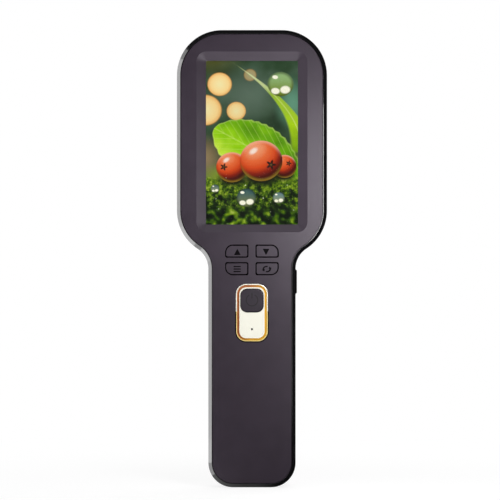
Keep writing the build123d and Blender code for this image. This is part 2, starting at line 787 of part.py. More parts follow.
# Ribbon connectors at the head end of the board, one on each face
connector_top_z = board_top_z - plunger_fit
connector_z = connector_top_z - ribbon_connector_depth / 2
with BuildPart() as lcd_connector:
    block(0, connector_z, screen_ribbon_width + 2 * ribbon_connector_side, ribbon_connector_depth,
          board_front_y - ribbon_connector_height, board_front_y)

with BuildPart() as camera_connector:
    block(0, connector_z, camera_ribbon_width + 2 * ribbon_connector_side, ribbon_connector_depth,
          board_back_y, board_back_y + ribbon_connector_height)


def ribbon(width, *route):
    """Flat ribbon along a route of (y, z) points, with rounded bends."""
    with BuildSketch(Plane.YZ) as side_view:
        with BuildLine() as path:
            FilletPolyline(*route, radius=ribbon_bend_radius)
        trace(path.line, line_width=ribbon_thickness)
    extrude(side_view.sketch, amount=width / 2, both=True)


screen_ribbon_y = (panel_front_y + panel_back_y) / 2
screen_socket_y = board_front_y - ribbon_connector_height / 2
ribbon_span = panel_bottom_z - connector_top_z
second_bend_z = panel_bottom_z - ribbon_second_bend * ribbon_span
with BuildPart() as lcd_flex:
    ribbon(screen_ribbon_width,
           (screen_ribbon_y, panel_bottom_z),
           (screen_ribbon_y, panel_bottom_z - ribbon_first_bend * ribbon_span),
           (screen_socket_y, second_bend_z),
           (screen_socket_y, connector_top_z))

camera_board_y = tube_start_y - camera_board_thickness / 2
camera_board_half = mount_base_size / 2 - seam
camera_board_bottom_z = lens_z - camera_board_half
camera_bend_z = camera_board_bottom_z - camera_ribbon_drop
camera_run_y = bracket_back_y + board_screw_head_height
camera_socket_y = board_back_y + ribbon_connector_height / 2
with BuildPart() as camera_flex:
    ribbon(camera_ribbon_width,
           (camera_board_y, camera_board_bottom_z),
           (camera_board_y, camera_bend_z),
           (camera_run_y, camera_bend_z - camera_ribbon_slope),
           (camera_run_y, panel_bottom_z),
           (camera_socket_y, second_bend_z),
           (camera_socket_y, connector_top_z))

# Battery, its foam pad, its two leads and their connector
with BuildPart() as battery_cell:
    with BuildSketch(Plane.XY.offset(foot_to_battery)):
        with Locations((0, battery_y)):
            Circle(battery_diameter / 2)
    extrude(amount=battery_length)
    fillet(battery_cell.edges().filter_by(GeomType.CIRCLE), battery_cap_radius)

with BuildPart() as battery_pad:
    block(0, foot_to_battery + battery_length / 2, battery_pad_width, battery_pad_length,
          cover_back_y, cover_back_y + battery_pad_thickness)

with BuildPart() as battery_connector:
    block(0, board_bottom_z + battery_connector_depth / 2, battery_connector_width,
          battery_connector_depth, board_back_y, board_back_y + battery_connector_height)

lead_end_y = board_back_y + battery_connector_height / 2
with BuildPart() as battery_leads:
    for side in (-1, 1):
        x = side * lead_pitch / 2
        start = Vector(x, battery_y, battery_top_z)
        end = Vector(x, lead_end_y, board_bottom_z)
        with BuildLine() as route:
            first = TangentArc(start, (start + end) / 2, tangent=(0, 0, 1))
            TangentArc(first @ 1, end, tangent=first % 1)
        with BuildSketch(Plane(origin=start, z_dir=(0, 0, 1))) as section:
            Circle(lead_radius)
        sweep(section.sketch, path=route.line)

# Camera board, image sensor and filter
camera_screw_offset = mount_base_size / 2 - camera_screw_inset
camera_screws_at = [(side * camera_screw_offset, lens_z + level * camera_screw_offset)
                    for side in (-1, 1) for level in (-1, 1)]
camera_back_y = tube_start_y - camera_board_thickness
with BuildPart() as camera_board:
    block(0, lens_z, 2 * camera_board_half, 2 * camera_board_half, camera_back_y, tube_start_y,
          radius=mount_base_corner_radius)
    posts(camera_screws_at, board_screw_radius + seam, camera_back_y, tube_start_y, mode=Mode.SUBTRACT)

with BuildPart() as camera_screws:
    posts(camera_screws_at, board_screw_head_radius, camera_back_y - board_screw_head_height, camera_back_y)
    posts(camera_screws_at, board_screw_radius, camera_back_y, tube_start_y + camera_screw_bite)

with BuildPart() as image_sensor:
    block(0, lens_z, sensor_size, sensor_size, tube_start_y, tube_start_y + sensor_height)

with BuildPart() as sensor_filter:
    block(0, lens_z, filter_size, filter_size, tube_start_y + sensor_height,
          tube_start_y + sensor_height + filter_thickness)

# Lens mount: base for the camera board, flange on the rear cover's seat, guide tube with two slots
ribbon_floor_radius = tube_outer_radius - ribbon_thickness - play / 2
ribbon_radius = tube_outer_radius - ribbon_thickness / 2 - running_fit
slot_width = 2 * (pin_radius + groove_play)
with BuildPart() as lens_mount:
    block(0, lens_z, mount_base_size, mount_base_size, tube_start_y, tube_start_y + mount_base_thickness,
          radius=mount_base_corner_radius)
    turned((tube_start_y, 0), (tube_end_y, 0), (tube_end_y, tube_outer_radius), (seat_y, tube_outer_radius),
           (seat_y, tube_flange_radius), (seat_y - tube_flange_thickness, tube_flange_radius),
           (seat_y - tube_flange_thickness, tube_outer_radius), (tube_start_y, tube_outer_radius))
    posts([(0, lens_z)], tube_inner_radius, tube_start_y, tube_end_y, mode=Mode.SUBTRACT)
    posts(camera_screws_at, board_screw_radius + running_fit, tube_start_y,
          tube_start_y + camera_screw_bite + play, mode=Mode.SUBTRACT)
    with BuildSketch(lens_plane(seat_y - tube_flange_thickness)):
        with PolarLocations(mount_screw_circle_radius, mount_screw_count, start_angle=90):
            Circle(mount_screw_radius + seam)
    extrude(amount=tube_flange_thickness, mode=Mode.SUBTRACT)
    with BuildSketch(Plane.YZ):
        with Locations((pin_y + focus_travel / 2, lens_z)):
            SlotOverall(focus_travel + slot_width, slot_width)
    extrude(amount=tube_outer_radius, both=True, mode=Mode.SUBTRACT)
    block(0, lens_z - (ribbon_floor_radius + tube_outer_radius + running_fit) / 2,
          lamp_ribbon_width + 2 * seam, tube_outer_radius + running_fit - ribbon_floor_radius,
          tube_start_y, tube_end_y, mode=Mode.SUBTRACT)

with BuildPart() as mount_screws:
    with BuildSketch(lens_plane(seat_y - tube_flange_thickness - mount_screw_head_height)):
        with PolarLocations(mount_screw_circle_radius, mount_screw_count, start_angle=90):
            Circle(mount_screw_head_radius)
    extrude(amount=mount_screw_head_height)
    with BuildSketch(lens_plane(seat_y - tube_flange_thickness)):
        with PolarLocations(mount_screw_circle_radius, mount_screw_count, start_angle=90):
            Circle(mount_screw_radius)
    extrude(amount=tube_flange_thickness + mount_screw_length)

# Sliding lens barrel with its two pins and its glass
front_seat_y = barrel_front_y - front_lens_seat_depth
rear_seat_y = barrel_rear_y + rear_lens_seat_depth
pin_root_radius = barrel_radius - pin_bite
with BuildPart() as lens_barrel:
    turned((barrel_rear_y, barrel_radius), (barrel_front_y, barrel_radius),
           (barrel_front_y, front_lens_radius + running_fit), (front_seat_y, front_lens_radius + running_fit),
           (front_seat_y, barrel_bore_radius), (rear_seat_y, barrel_bore_radius),
           (rear_seat_y, rear_lens_radius + running_fit), (barrel_rear_y, rear_lens_radius + running_fit))
    for side in (-1, 1):
        with BuildSketch(Plane.YZ.offset(side * pin_root_radius)):
            with Locations((pin_y, lens_z)):
                Circle(pin_radius + running_fit)
        extrude(amount=side * pin_bite, mode=Mode.SUBTRACT)

with BuildPart() as barrel_pins:
    for side in (-1, 1):
        with BuildSketch(Plane.YZ.offset(side * pin_root_radius)):
            with Locations((pin_y, lens_z)):
                Circle(pin_radius)
        extrude(amount=side * (pin_tip_radius - pin_root_radius))


def crowned_lens(flat_y, edge_y, radius):
    """Lens with a flat face at one depth and a crowned face beyond its edge at the other."""
    crown_y = edge_y + lens_crown * (1 if edge_y > flat_y else -1)
    with BuildSketch(lens_section) as section:
        with BuildLine():
            Polyline((crown_y, 0), (flat_y, 0), (flat_y, radius), (edge_y, radius))
            RadiusArc((edge_y, radius), (crown_y, 0),
                      (radius ** 2 + lens_crown ** 2) / (2 * lens_crown) * (1 if edge_y > flat_y else -1))
        make_face()
    revolve(section.sketch, axis=lens_axis)


with BuildPart() as rear_lens:
    crowned_lens(rear_seat_y, rear_seat_y - rear_lens_thickness + lens_crown, rear_lens_radius)

front_lens_edge_y = front_seat_y + front_lens_thickness - lens_crown
with BuildPart() as front_lens:
    crowned_lens(front_seat_y, front_lens_edge_y, front_lens_radius)

with BuildPart() as lens_retainer:
    turned((front_lens_edge_y, front_lens_radius), (barrel_front_y - seam, front_lens_radius),
           (barrel_front_y - seam, front_lens_radius - retainer_width / 2),
           (front_lens_edge_y + retainer_relief, front_lens_radius - retainer_width))

# Focus ring: fluted grip, cored-out web and a sleeve whose two helical grooves drive the barrel's pins.
# Each groove begins beyond the pin's place at rest, where a straight channel lets the pin in.
groove_lead = focus_travel * 360 / focus_angle
groove_turn = focus_angle + entry_angle + groove_end_angle
groove_start_y = pin_y - groove_lead * entry_angle / 360
groove_middle_radius = (ring_bore_radius + groove_radius) / 2
groove_cut = groove_radius - ring_bore_radius + 2 * play
ring_sleeve_radius = groove_radius + play + ring_sleeve_wall
with BuildPart() as cam_groove:
    with BuildLine() as helix:
        Helix(pitch=groove_lead, height=groove_lead * groove_turn / 360, radius=groove_middle_radius,
              lefthand=True)
    with BuildSketch(Plane(origin=helix.line @ 0, x_dir=(1, 0, 0), z_dir=helix.line % 0)):
        Rectangle(groove_cut, slot_width)
    sweep(path=helix.line, is_frenet=True)

with BuildPart() as focus_ring:
    turned((ring_start_y, ring_bore_radius), (ring_end_y, ring_bore_radius),
           (ring_end_y, ring_radius - ring_edge), (ring_end_y - ring_edge, ring_radius),
           (ring_start_y + ring_edge / 2, ring_radius), (ring_start_y, ring_radius - ring_edge / 2),
           (ring_start_y, ring_radius - ring_rim_thickness),
           (ring_end_y - ring_web_thickness, ring_radius - ring_rim_thickness),
           (ring_end_y - ring_web_thickness, ring_sleeve_radius), (ring_start_y, ring_sleeve_radius))
    with BuildSketch(lens_plane(ring_start_y)):
        with PolarLocations(ring_radius + grip_flute_radius / 3, grip_flute_count):
            Circle(grip_flute_radius)
    extrude(amount=ring_width, mode=Mode.SUBTRACT)
    with BuildSketch(lens_plane(ring_start_y)):
        with PolarLocations(groove_middle_radius, 2, start_angle=entry_angle):
            Rectangle(groove_cut, slot_width)
    extrude(amount=groove_start_y - ring_start_y, mode=Mode.SUBTRACT)
    with Locations(lens_plane(groove_start_y)):
        with PolarLocations(0, 2, start_angle=entry_angle):
            add(cam_groove.part, mode=Mode.SUBTRACT)

with BuildPart() as focus_washer:
    turned((back_y, ring_bore_radius + seam), (back_y + washer_thickness, ring_bore_radius + seam),
           (back_y + washer_thickness, ring_bore_radius + seam + washer_width),
           (back_y, ring_bore_radius + seam + washer_width))

# Nose plate on the tube's end, with the lamp board, its lamps and ribbon, and the clear hood
nose_bore_radius = barrel_radius + play
with BuildPart() as nose_plate:
    turned((tube_end_y, nose_bore_radius), (nose_front_y, nose_bore_radius), (nose_front_y, nose_radius),
           (tube_end_y, nose_radius))
    block(0, lens_z - ribbon_radius, lamp_ribbon_width + 2 * seam, 2 * ribbon_thickness, tube_end_y,
          nose_front_y, mode=Mode.SUBTRACT)

with BuildPart() as led_board:
    turned((nose_front_y, lamp_board_inner_radius), (lamp_board_y, lamp_board_inner_radius),
           (lamp_board_y, lamp_board_outer_radius), (nose_front_y, lamp_board_outer_radius))

with BuildPart() as lamp_leds:
    with BuildSketch(lens_plane(lamp_board_y)):
        with PolarLocations(lamp_circle_radius, lamp_count):
            Rectangle(lamp_size, lamp_size)
    extrude(amount=lamp_height)

with BuildPart() as led_flex:
    block(0, lens_z - ribbon_radius, lamp_ribbon_width, ribbon_thickness, tube_start_y, nose_front_y)

with BuildPart() as contact_hood:
    turned((tube_end_y, hood_base_radius), (hood_end_y, hood_base_radius - hood_taper),
           (hood_end_y, hood_base_radius - hood_taper + hood_wall), (tube_end_y, hood_base_radius + hood_wall))
    fillet(contact_hood.faces().sort_by(Axis.Y)[-1].edges(), hood_lip_radius)

pieces = {
    "front_cover": front_cover,
    "middle_frame": middle_frame,
    "rear_cover": rear_cover,
    "rear_screws": rear_screws,
    "screen_window": screen_window,
    "window_gasket": window_gasket,
    "lcd_panel": lcd_panel,
    "backlight_unit": backlight_unit,
    "lcd_bracket": lcd_bracket,
    "bracket_screws": bracket_screws,
    "lcd_flex": lcd_flex,
    **keys,
    **key_plungers,
    "key_switches": key_switches,
    "power_button": power_button,
    "power_plunger": power_plunger,
    "power_switch": power_switch,
    "capsule_trim": capsule_trim,
    "indicator_light_pipe": indicator_light_pipe,
    "indicator_led": indicator_led,
    "side_key": side_key,
    "side_plunger": side_plunger,
    "side_switch": side_switch,
    "main_board": main_board,
    "board_screws": board_screws,
    "board_chips": board_chips,
    "usb_port": usb_port,
    "card_socket": card_socket,
    "lcd_connector": lcd_connector,
    "camera_connector": camera_connector,
    "battery_connector": battery_connector,
    "battery_cell": battery_cell,
    "battery_pad": battery_pad,
    "battery_leads": battery_leads,
    "camera_board": camera_board,
    "camera_screws": camera_screws,
    "image_sensor": image_sensor,
    "sensor_filter": sensor_filter,
    "camera_flex": camera_flex,
    "lens_mount": lens_mount,
    "mount_screws": mount_screws,
    "lens_barrel": lens_barrel,
    "barrel_pins": barrel_pins,
    "rear_lens": rear_lens,
    "front_lens": front_lens,
    "lens_retainer": lens_retainer,
    "focus_ring": focus_ring,
    "focus_washer": focus_washer,
    "nose_plate": nose_plate,
    "led_board": led_board,
    "lamp_leds": lamp_leds,
    "led_flex": led_flex,
    "contact_hood": contact_hood,
}

os.makedirs("parts", exist_ok=True)
for name, piece in pieces.items():
    piece.part.label = name
    export_step(piece.part, f"parts/{name}.step")
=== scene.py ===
import math
import bpy
import bmesh
from mathutils import Matrix, Vector


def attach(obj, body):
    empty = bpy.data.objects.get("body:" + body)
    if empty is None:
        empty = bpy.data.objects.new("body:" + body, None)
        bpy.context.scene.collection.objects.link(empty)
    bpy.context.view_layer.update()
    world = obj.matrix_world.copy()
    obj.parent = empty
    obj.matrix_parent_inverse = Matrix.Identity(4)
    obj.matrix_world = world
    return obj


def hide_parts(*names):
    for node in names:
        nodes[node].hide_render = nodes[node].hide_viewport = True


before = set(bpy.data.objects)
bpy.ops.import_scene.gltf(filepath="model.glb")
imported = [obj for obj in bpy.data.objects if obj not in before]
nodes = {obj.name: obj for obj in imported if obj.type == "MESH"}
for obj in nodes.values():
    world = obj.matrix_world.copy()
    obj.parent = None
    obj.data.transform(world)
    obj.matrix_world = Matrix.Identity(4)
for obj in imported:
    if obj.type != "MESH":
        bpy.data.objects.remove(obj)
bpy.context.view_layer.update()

MM = 0.001

# Places and sizes in millimetres, in the frame of the CAD. Y is negative towards the front.
KEY_FACE_Y = -12.2
# Depths behind the face past which keys and power button are painted black as painted shade.
KEY_SHADE_Y = -12.14
POWER_SHADE_Y = -12.2
KEY_X = 8.0
LOWER_KEYS_Z = 118.1
POWER_Z = 101.3
TRIM_Z = 94.5
TRIM_WIDTH = 17.4
TRIM_HEIGHT = 31.3
TRIM_CORNER = 5.6
TRIM_SPLIT = (95.1, 95.4)
SCREEN_Z = 142.2
SCREEN_WIDTH = 49.8
SCREEN_HEIGHT = 88.6
LENS_Z = 186.5
LAMP_CIRCLE = 12.8
LAMP_COUNT = 8
PORT_Y = -3.17
PORT_Z = 94.6
SCREW_PLACES = ((16.5, 13.3), (33.5, 149.6), (33.5, 223.0))
SCREW_HEAD = {"radius": 1.9, "height": 1.3, "y": 6.65}
SCREW_SHANK = {"radius": 1.0, "height": 6.6, "y": 2.75}
INK = 0.06
SUNK = 0.03

# Black for painted shade in gaps and at the trim's foot, and for printed ink.
SHADE_AND_INK_BLACK = (0.002, 0.002, 0.002, 1)
scene = bpy.context.scene
scene.view_settings.view_transform = "Standard"


# Camera, lights, floor and background
def look_at(thing, target):
    """Turns a lamp or camera so that it looks at a point."""
    away = thing.location - Vector(target)
    thing.rotation_euler = away.to_track_quat("Z", "Y").to_euler()


def add_camera():
    camera = bpy.data.objects.new("camera", bpy.data.cameras.new("camera"))
    scene.collection.objects.link(camera)
    camera.location = (-0.00106, -1.612, 0.1284)
    camera.rotation_euler = (math.radians(90), 0, 0)
    camera.data.sensor_width = 36
    distance, width_seen = 1.6, 0.27025
    camera.data.lens = camera.data.sensor_width * distance / width_seen
    camera.data.clip_start = 0.01
    scene.camera = camera


def add_soft_light(name, place, target, width, height, radiance, spread=180):
    """Rectangular lamp that looks this bright wherever it is seen in a reflection."""
    lamp = bpy.data.lights.new(name, "AREA")
    lamp.shape = "RECTANGLE"
    lamp.size = width
    lamp.size_y = height
    lamp.energy = radiance * math.pi * width * height
    lamp.spread = math.radians(spread)
    light = bpy.data.objects.new(name, lamp)
    scene.collection.objects.link(light)
    light.location = place
    look_at(light, target)
    light.visible_camera = False
    return light


def keep_off(thing, *lights):
    """Takes a thing out of what these lamps light, so that they leave no hard bright patch on it."""
    spared = bpy.data.collections.new("lamps kept off " + thing.name)
    spared.objects.link(thing)
    spared.collection_objects[0].light_linking.link_state = "EXCLUDE"
    for light in lights:
        light.light_linking.receiver_collection = spared


class Shade:
    """Output of a node, with operators that add the Math nodes for them."""

    def __init__(self, finish, socket):
        self.finish = finish
        self.socket = socket

    def maths(self, operation, *others):
        return self.finish.maths(operation, self, *others)

    def __add__(self, other):
        return self.maths("ADD", other)

    def __sub__(self, other):
        return self.maths("SUBTRACT", other)

    def __mul__(self, other):
        return self.maths("MULTIPLY", other)

    def __truediv__(self, other):
        return self.maths("DIVIDE", other)

    def __pow__(self, other):
        return self.maths("POWER", other)

    def __rsub__(self, other):
        return self.finish.maths("SUBTRACT", other, self)

    __radd__ = __add__
    __rmul__ = __mul__


def srgb(red, green, blue):
    """Linear colour of a display colour given from 0 to 255."""
    linear = [(c / 255 / 12.92) if c <= 10 else ((c / 255 + 0.055) / 1.055) ** 2.4
              for c in (red, green, blue)]
    return (*linear, 1.0)


class Finish:
    """Material whose patterns lie on the object's own coordinates, in metres."""

    def __init__(self, name, tree=None):
        if tree is None:
            self.material = bpy.data.materials.new(name)
            self.material.use_nodes = True
            tree = self.material.node_tree
        self.tree = tree
        tree.nodes.clear()
        self.place = self.node("ShaderNodeTexCoord", output="Object")

    def node(self, kind, settings=None, values=None, output=0):
        """Adds a node: settings first, then the values or links of its sockets."""
        node = self.tree.nodes.new(kind)
        for name, value in (settings or {}).items():
            if name == "stops":
                ramp = node.color_ramp
                while len(ramp.elements) < len(value):
                    ramp.elements.new(0.5)
                for element, (position, colour) in zip(ramp.elements, value):
                    element.position = position
                    element.color = colour
            else:
                setattr(node, name, value)
        for name, value in (values or {}).items():
            if isinstance(value, Shade):
                self.tree.links.new(value.socket, node.inputs[name])
            else:
                node.inputs[name].default_value = value
        return Shade(self, node.outputs[output])

    def maths(self, operation, *values):
        return self.node("ShaderNodeMath", {"operation": operation}, dict(enumerate(values)))

    def coordinates(self):
        """The three coordinates, as separate values."""
        split = self.node("ShaderNodeSeparateXYZ", None, {0: self.place}).socket.node
        return [Shade(self, out) for out in split.outputs]

    def ease(self, value, low, high):
        """Smooth step from 0 at low to 1 at high."""
        return self.node("ShaderNodeMapRange", {"interpolation_type": "SMOOTHSTEP"},
                         {"Value": value, "From Min": low, "From Max": high})

    def between(self, value, low, high, soft):
        """1 between two limits and 0 outside them, with soft edges."""
        return self.ease(value, low - soft, low + soft) * (1 - self.ease(value, high - soft, high + soft))

    def spread(self, value, low, high):
        """Value from 0 to 1 taken to a range."""
        return low + value * (high - low)

    def noise(self, size, detail=2.0, place=None, roughness=0.5):
        """Cloudy noise whose patches are about this size, in the unit of the coordinates."""
        return self.node("ShaderNodeTexNoise", None, {
            "Vector": place or self.place, "Scale": 1 / size, "Detail": detail, "Roughness": roughness})

    def cells(self, size, place=None, feature="F1", output="Distance"):
        """Distances in a pattern of irregular cells of about this size."""
        return self.node("ShaderNodeTexVoronoi", {"feature": feature},
                         {"Vector": place or self.place, "Scale": 1 / size}, output=output)

    def mix(self, factor, under, over):
        """Colour that goes from one to the other as the factor goes from 0 to 1."""
        return self.node("ShaderNodeMix", {"data_type": "RGBA"}, {0: factor, 6: under, 7: over}, output=2)

    def ramp(self, value, *stops):
        return self.node("ShaderNodeValToRGB", {"stops": stops}, {"Fac": value})

    def relief(self, height, depth):
        """Bump of this depth, in metres."""
        return self.node("ShaderNodeBump", None, {"Strength": 1.0, "Distance": depth, "Height": height})

    def surface(self, values):
        shader = self.node("ShaderNodeBsdfPrincipled", None, values)
        self.node_out(shader)
        return self.material

    def node_out(self, shader):
        end = self.tree.nodes.new("ShaderNodeOutputMaterial")
        self.tree.links.new(shader.socket, end.inputs["Surface"])


def studio_world():
    """White background, soft walls left (bright) and right of the front, and a dim room elsewhere."""
    world = bpy.data.worlds.new("studio")
    world.use_nodes = True
    scene.world = world
    sky = Finish("studio", world.node_tree)
    direction = sky.node("ShaderNodeTexCoord", output="Generated")
    split = sky.node("ShaderNodeSeparateXYZ", None, {0: direction}).socket.node
    across, behind, upward = [Shade(sky, out) for out in split.outputs]
    ray = sky.tree.nodes.new("ShaderNodeLightPath")
    camera, gloss, clear = [Shade(sky, ray.outputs[name]) for name in
                            ("Is Camera Ray", "Is Glossy Ray", "Is Transmission Ray")]
    out = sky.maths("SQRT", across * across + upward * upward)
    left = sky.maths("MAXIMUM", across * -1.0 / out, 0.0)
    left = left * left
    right = sky.maths("MAXIMUM", across / out, 0.0)
    wall = sky.between(behind, -0.81, -0.21, 0.10) * (left * 1.18 + right * 0.10)
    back = sky.ease(behind, 0.15, 0.40)
    room = 0.04 + back * (0.5 - gloss * (0.46 - left * 0.4)) + wall
    white = sky.maths("MAXIMUM", camera, clear * sky.ease(behind, -0.1, 0.1))
    light = sky.node("ShaderNodeBackground", None,
                     {"Color": (1, 1, 1, 1), "Strength": room + white * (1 - room)})
    end = sky.tree.nodes.new("ShaderNodeOutputWorld")
    sky.tree.links.new(light.socket, end.inputs["Surface"])


def add_floor():
    """Pale floor that fades to the white of the background and keeps the shadow.

    In reflections it is bright at the left and just in front of the object, and dim elsewhere.
    """
    radius, shadow_share, lift = 0.42, 0.28, 0.16
    bpy.ops.object.select_all(action="DESELECT")
    bpy.ops.mesh.primitive_circle_add(vertices=96, radius=radius, fill_type="NGON", location=(0, 0, -0.0002))
    floor = bpy.context.object
    floor.name = "floor"
    pale = Finish("pale floor")
    across, depth, _ = pale.coordinates()
    away = pale.node("ShaderNodeVectorMath", {"operation": "LENGTH"}, {0: pale.place}, output="Value")
    near = 1 - pale.ease(away, 0.05, 0.40)
    ray = pale.tree.nodes.new("ShaderNodeLightPath")
    camera, gloss, clear = [Shade(pale, ray.outputs[name]) for name in
                            ("Is Camera Ray", "Is Glossy Ray", "Is Transmission Ray")]
    seen = pale.maths("MAXIMUM", camera, clear)
    front = pale.between(depth, -0.035, -0.008, 0.005) * (1 - pale.ease(across, 0.0, 0.016))
    left = (1 - pale.ease(across, -0.035, 0.012)) * (0.4 + pale.ease(depth, -0.12, -0.05) * 0.6)
    mirrored = gloss * (0.02 + pale.maths("MAXIMUM", front * 0.3, left) * 0.98)
    lit = pale.node("ShaderNodeBsdfDiffuse", None, {"Color": (0.9, 0.9, 0.9, 1)})
    white = pale.node("ShaderNodeEmission", None,
                      {"Color": (1, 1, 1, 1), "Strength": seen * (1 + near * lift) + mirrored})
    share = pale.maths("MAXIMUM", seen * (1 - near * shadow_share), gloss)
    pale.node_out(pale.node("ShaderNodeMixShader", None, {0: share, 1: lit, 2: white}))
    floor.data.materials.append(pale.material)
    return floor


add_camera()
studio_world()
floor = add_floor()

# name, place, what it looks at, width, height and radiance
near_sheen = add_soft_light("near_sheen", (0.060, -0.20, 0.171), (0.03, -0.012, 0.167), 0.05, 0.09, 14.4)
handle_sheen = add_soft_light("handle_sheen", (0.055, -0.12, 0.085), (0.02, -0.012, 0.085), 0.012, 0.12, 7.0)
add_soft_light("head_top", (0.0, -0.28, 0.45), (0, 0, 0.18), 0.3, 0.15, 1.55)
add_soft_light("edge_top", (0.0, -0.16, 0.60), (0, 0, 0.22), 0.3, 0.10, 1.2)
slope_low = add_soft_light("slope_low", (0, -0.13, 0.006), (0, -0.012, 0.235), 0.10, 0.03, 2.1, spread=40)
add_soft_light("plate_card", (0, -1.0, 0.066), (0, 0, 0.095), 0.14, 0.15, 1.45)
left_card = add_soft_light("left_card", (-0.14, 0.03, 0.140), (0, 0.03, 0.140), 0.12, 0.278, 4.6)
left_card_top = add_soft_light("left_card_top", (-0.14, 0.03, 0.300), (0, 0.03, 0.300), 0.12, 0.04, 2.2)
add_soft_light("left_floor_card", (-0.085, 0.02, 0.0006), (-0.085, 0.02, 0.1), 0.11, 0.08, 2.0)
add_soft_light("back_panel", (0.35, 1.3, 0.75), (0, 0, 0.13), 1.2, 0.9, 2.2)
keep_off(floor, left_card, left_card_top)
keep_off(nodes["screen_window"], near_sheen, handle_sheen, slope_low)


# Finishes
def below(level):
    """Mask of what lies deeper than this level behind the face."""
    return lambda finish: finish.ease(finish.coordinates()[1], level * MM, (level + 0.12) * MM)


def key_openings(finish):
    """Mask of the walls of the four key openings."""
    across, depth, up = finish.coordinates()
    return (finish.ease(depth, -11.98 * MM, -11.88 * MM)
            * finish.between(across, -15.5 * MM, 15.5 * MM, 0.1 * MM)
            * finish.between(up, 112.5 * MM, 133.0 * MM, 0.1 * MM))


def power_symbol(finish):
    """Mask of a ring that is open at the top, with a bar in the opening."""
    across, _, up = finish.coordinates()
    rise = up - POWER_Z * MM
    out = finish.maths("SQRT", across * across + rise * rise)
    gap = finish.ease(rise - out * 0.883, -0.05 * MM, 0.05 * MM)
    ring = finish.between(out, 2.8 * MM, 3.4 * MM, 0.05 * MM) * (1 - gap)
    bar = (finish.between(across, -0.28 * MM, 0.28 * MM, 0.05 * MM)
           * finish.between(rise, 0.9 * MM, 3.9 * MM, 0.05 * MM))
    return finish.maths("MAXIMUM", ring, bar)


def soft_touch(name, colour, roughness, grain=0.00016, depth=0.000010, lift=0.10, sheen=0.5, painted_shade=None,
               mark=None):
    """Satin moulded plastic with fine spark grain and faint clouding.

    Where the shade mask says, it is painted black, metallic and rough as painted shade; it is printed dark
    where the mask mark says.
    """
    finish = Finish(name)
    grains = finish.noise(grain, detail=3.0, roughness=0.6)
    cloud = finish.noise(0.011, detail=2.0)
    dark = tuple(c * (1 - lift) for c in colour[:3]) + (1,)
    pale = tuple(c * (1 + lift) for c in colour[:3]) + (1,)
    tint = finish.mix(finish.ease(cloud, 0.35, 0.65) * 0.6 + grains * 0.4, dark, pale)
    rough = roughness + (cloud - 0.5) * 0.06 + (grains - 0.5) * 0.10
    inside = 0.0
    if mark:
        printed = mark(finish)
        tint = finish.mix(printed * 0.9, tint, SHADE_AND_INK_BLACK)
        rough = rough + printed * 0.1
    # Painted shade: black where the shade mask says.
    if painted_shade:
        inside = painted_shade(finish)
        tint = finish.mix(inside, tint, SHADE_AND_INK_BLACK)
        rough = rough + inside * (0.8 - roughness)
    return finish.surface({"Base Color": tint, "Metallic": inside, "Roughness": rough,
                           "Specular IOR Level": sheen, "Specular Tint": (0.98, 0.92, 1.0, 1),
                           "Normal": finish.relief(grains, depth)})


def gloss_band(name):
    """Polished black moulding with a faint moulding wave and fine rubbing."""
    finish = Finish(name)
    wave = finish.noise(0.006, detail=1.0)
    rub = finish.noise(0.0006, detail=3.0)
    tint = finish.mix(rub, srgb(7, 7, 9), srgb(16, 15, 18))
    return finish.surface({"Base Color": tint, "Roughness": finish.spread(rub, 0.09, 0.19), "IOR": 1.52,
                           "Coat Weight": 0.6, "Coat Roughness": 0.05,
                           "Normal": finish.relief(wave * 0.8 + rub * 0.05, 0.000012)})


def trim_inset(finish):
    """Distance inwards from the trim plate's outline, along its face."""
    across, _, up = finish.coordinates()
    side = finish.maths("ABSOLUTE", across) - (TRIM_WIDTH / 2 - TRIM_CORNER) * MM
    rise = finish.maths("ABSOLUTE", up - TRIM_Z * MM) - (TRIM_HEIGHT / 2 - TRIM_CORNER) * MM
    corner_x = finish.maths("MAXIMUM", side, 0.0)
    corner_z = finish.maths("MAXIMUM", rise, 0.0)
    return TRIM_CORNER * MM - finish.maths("SQRT", corner_x * corner_x + corner_z * corner_z)


def trim_lower_half(finish):
    """Mask of what lies below the line at which the trim plate changes colour."""
    return 1 - finish.ease(finish.coordinates()[2], TRIM_SPLIT[0] * MM, TRIM_SPLIT[1] * MM)


def cover_painted_shade(finish):
    """Mask of the painted shade on the walls of the key openings, and of a painted shadow line on the face
    round the lower half of the trim.
    """
    # Painted shadow: a dark line just outside the lower half of the trim.
    trim_shadow = finish.ease(trim_inset(finish), -0.45 * MM, -0.33 * MM) * trim_lower_half(finish)
    return finish.maths("MAXIMUM", key_openings(finish), trim_shadow)


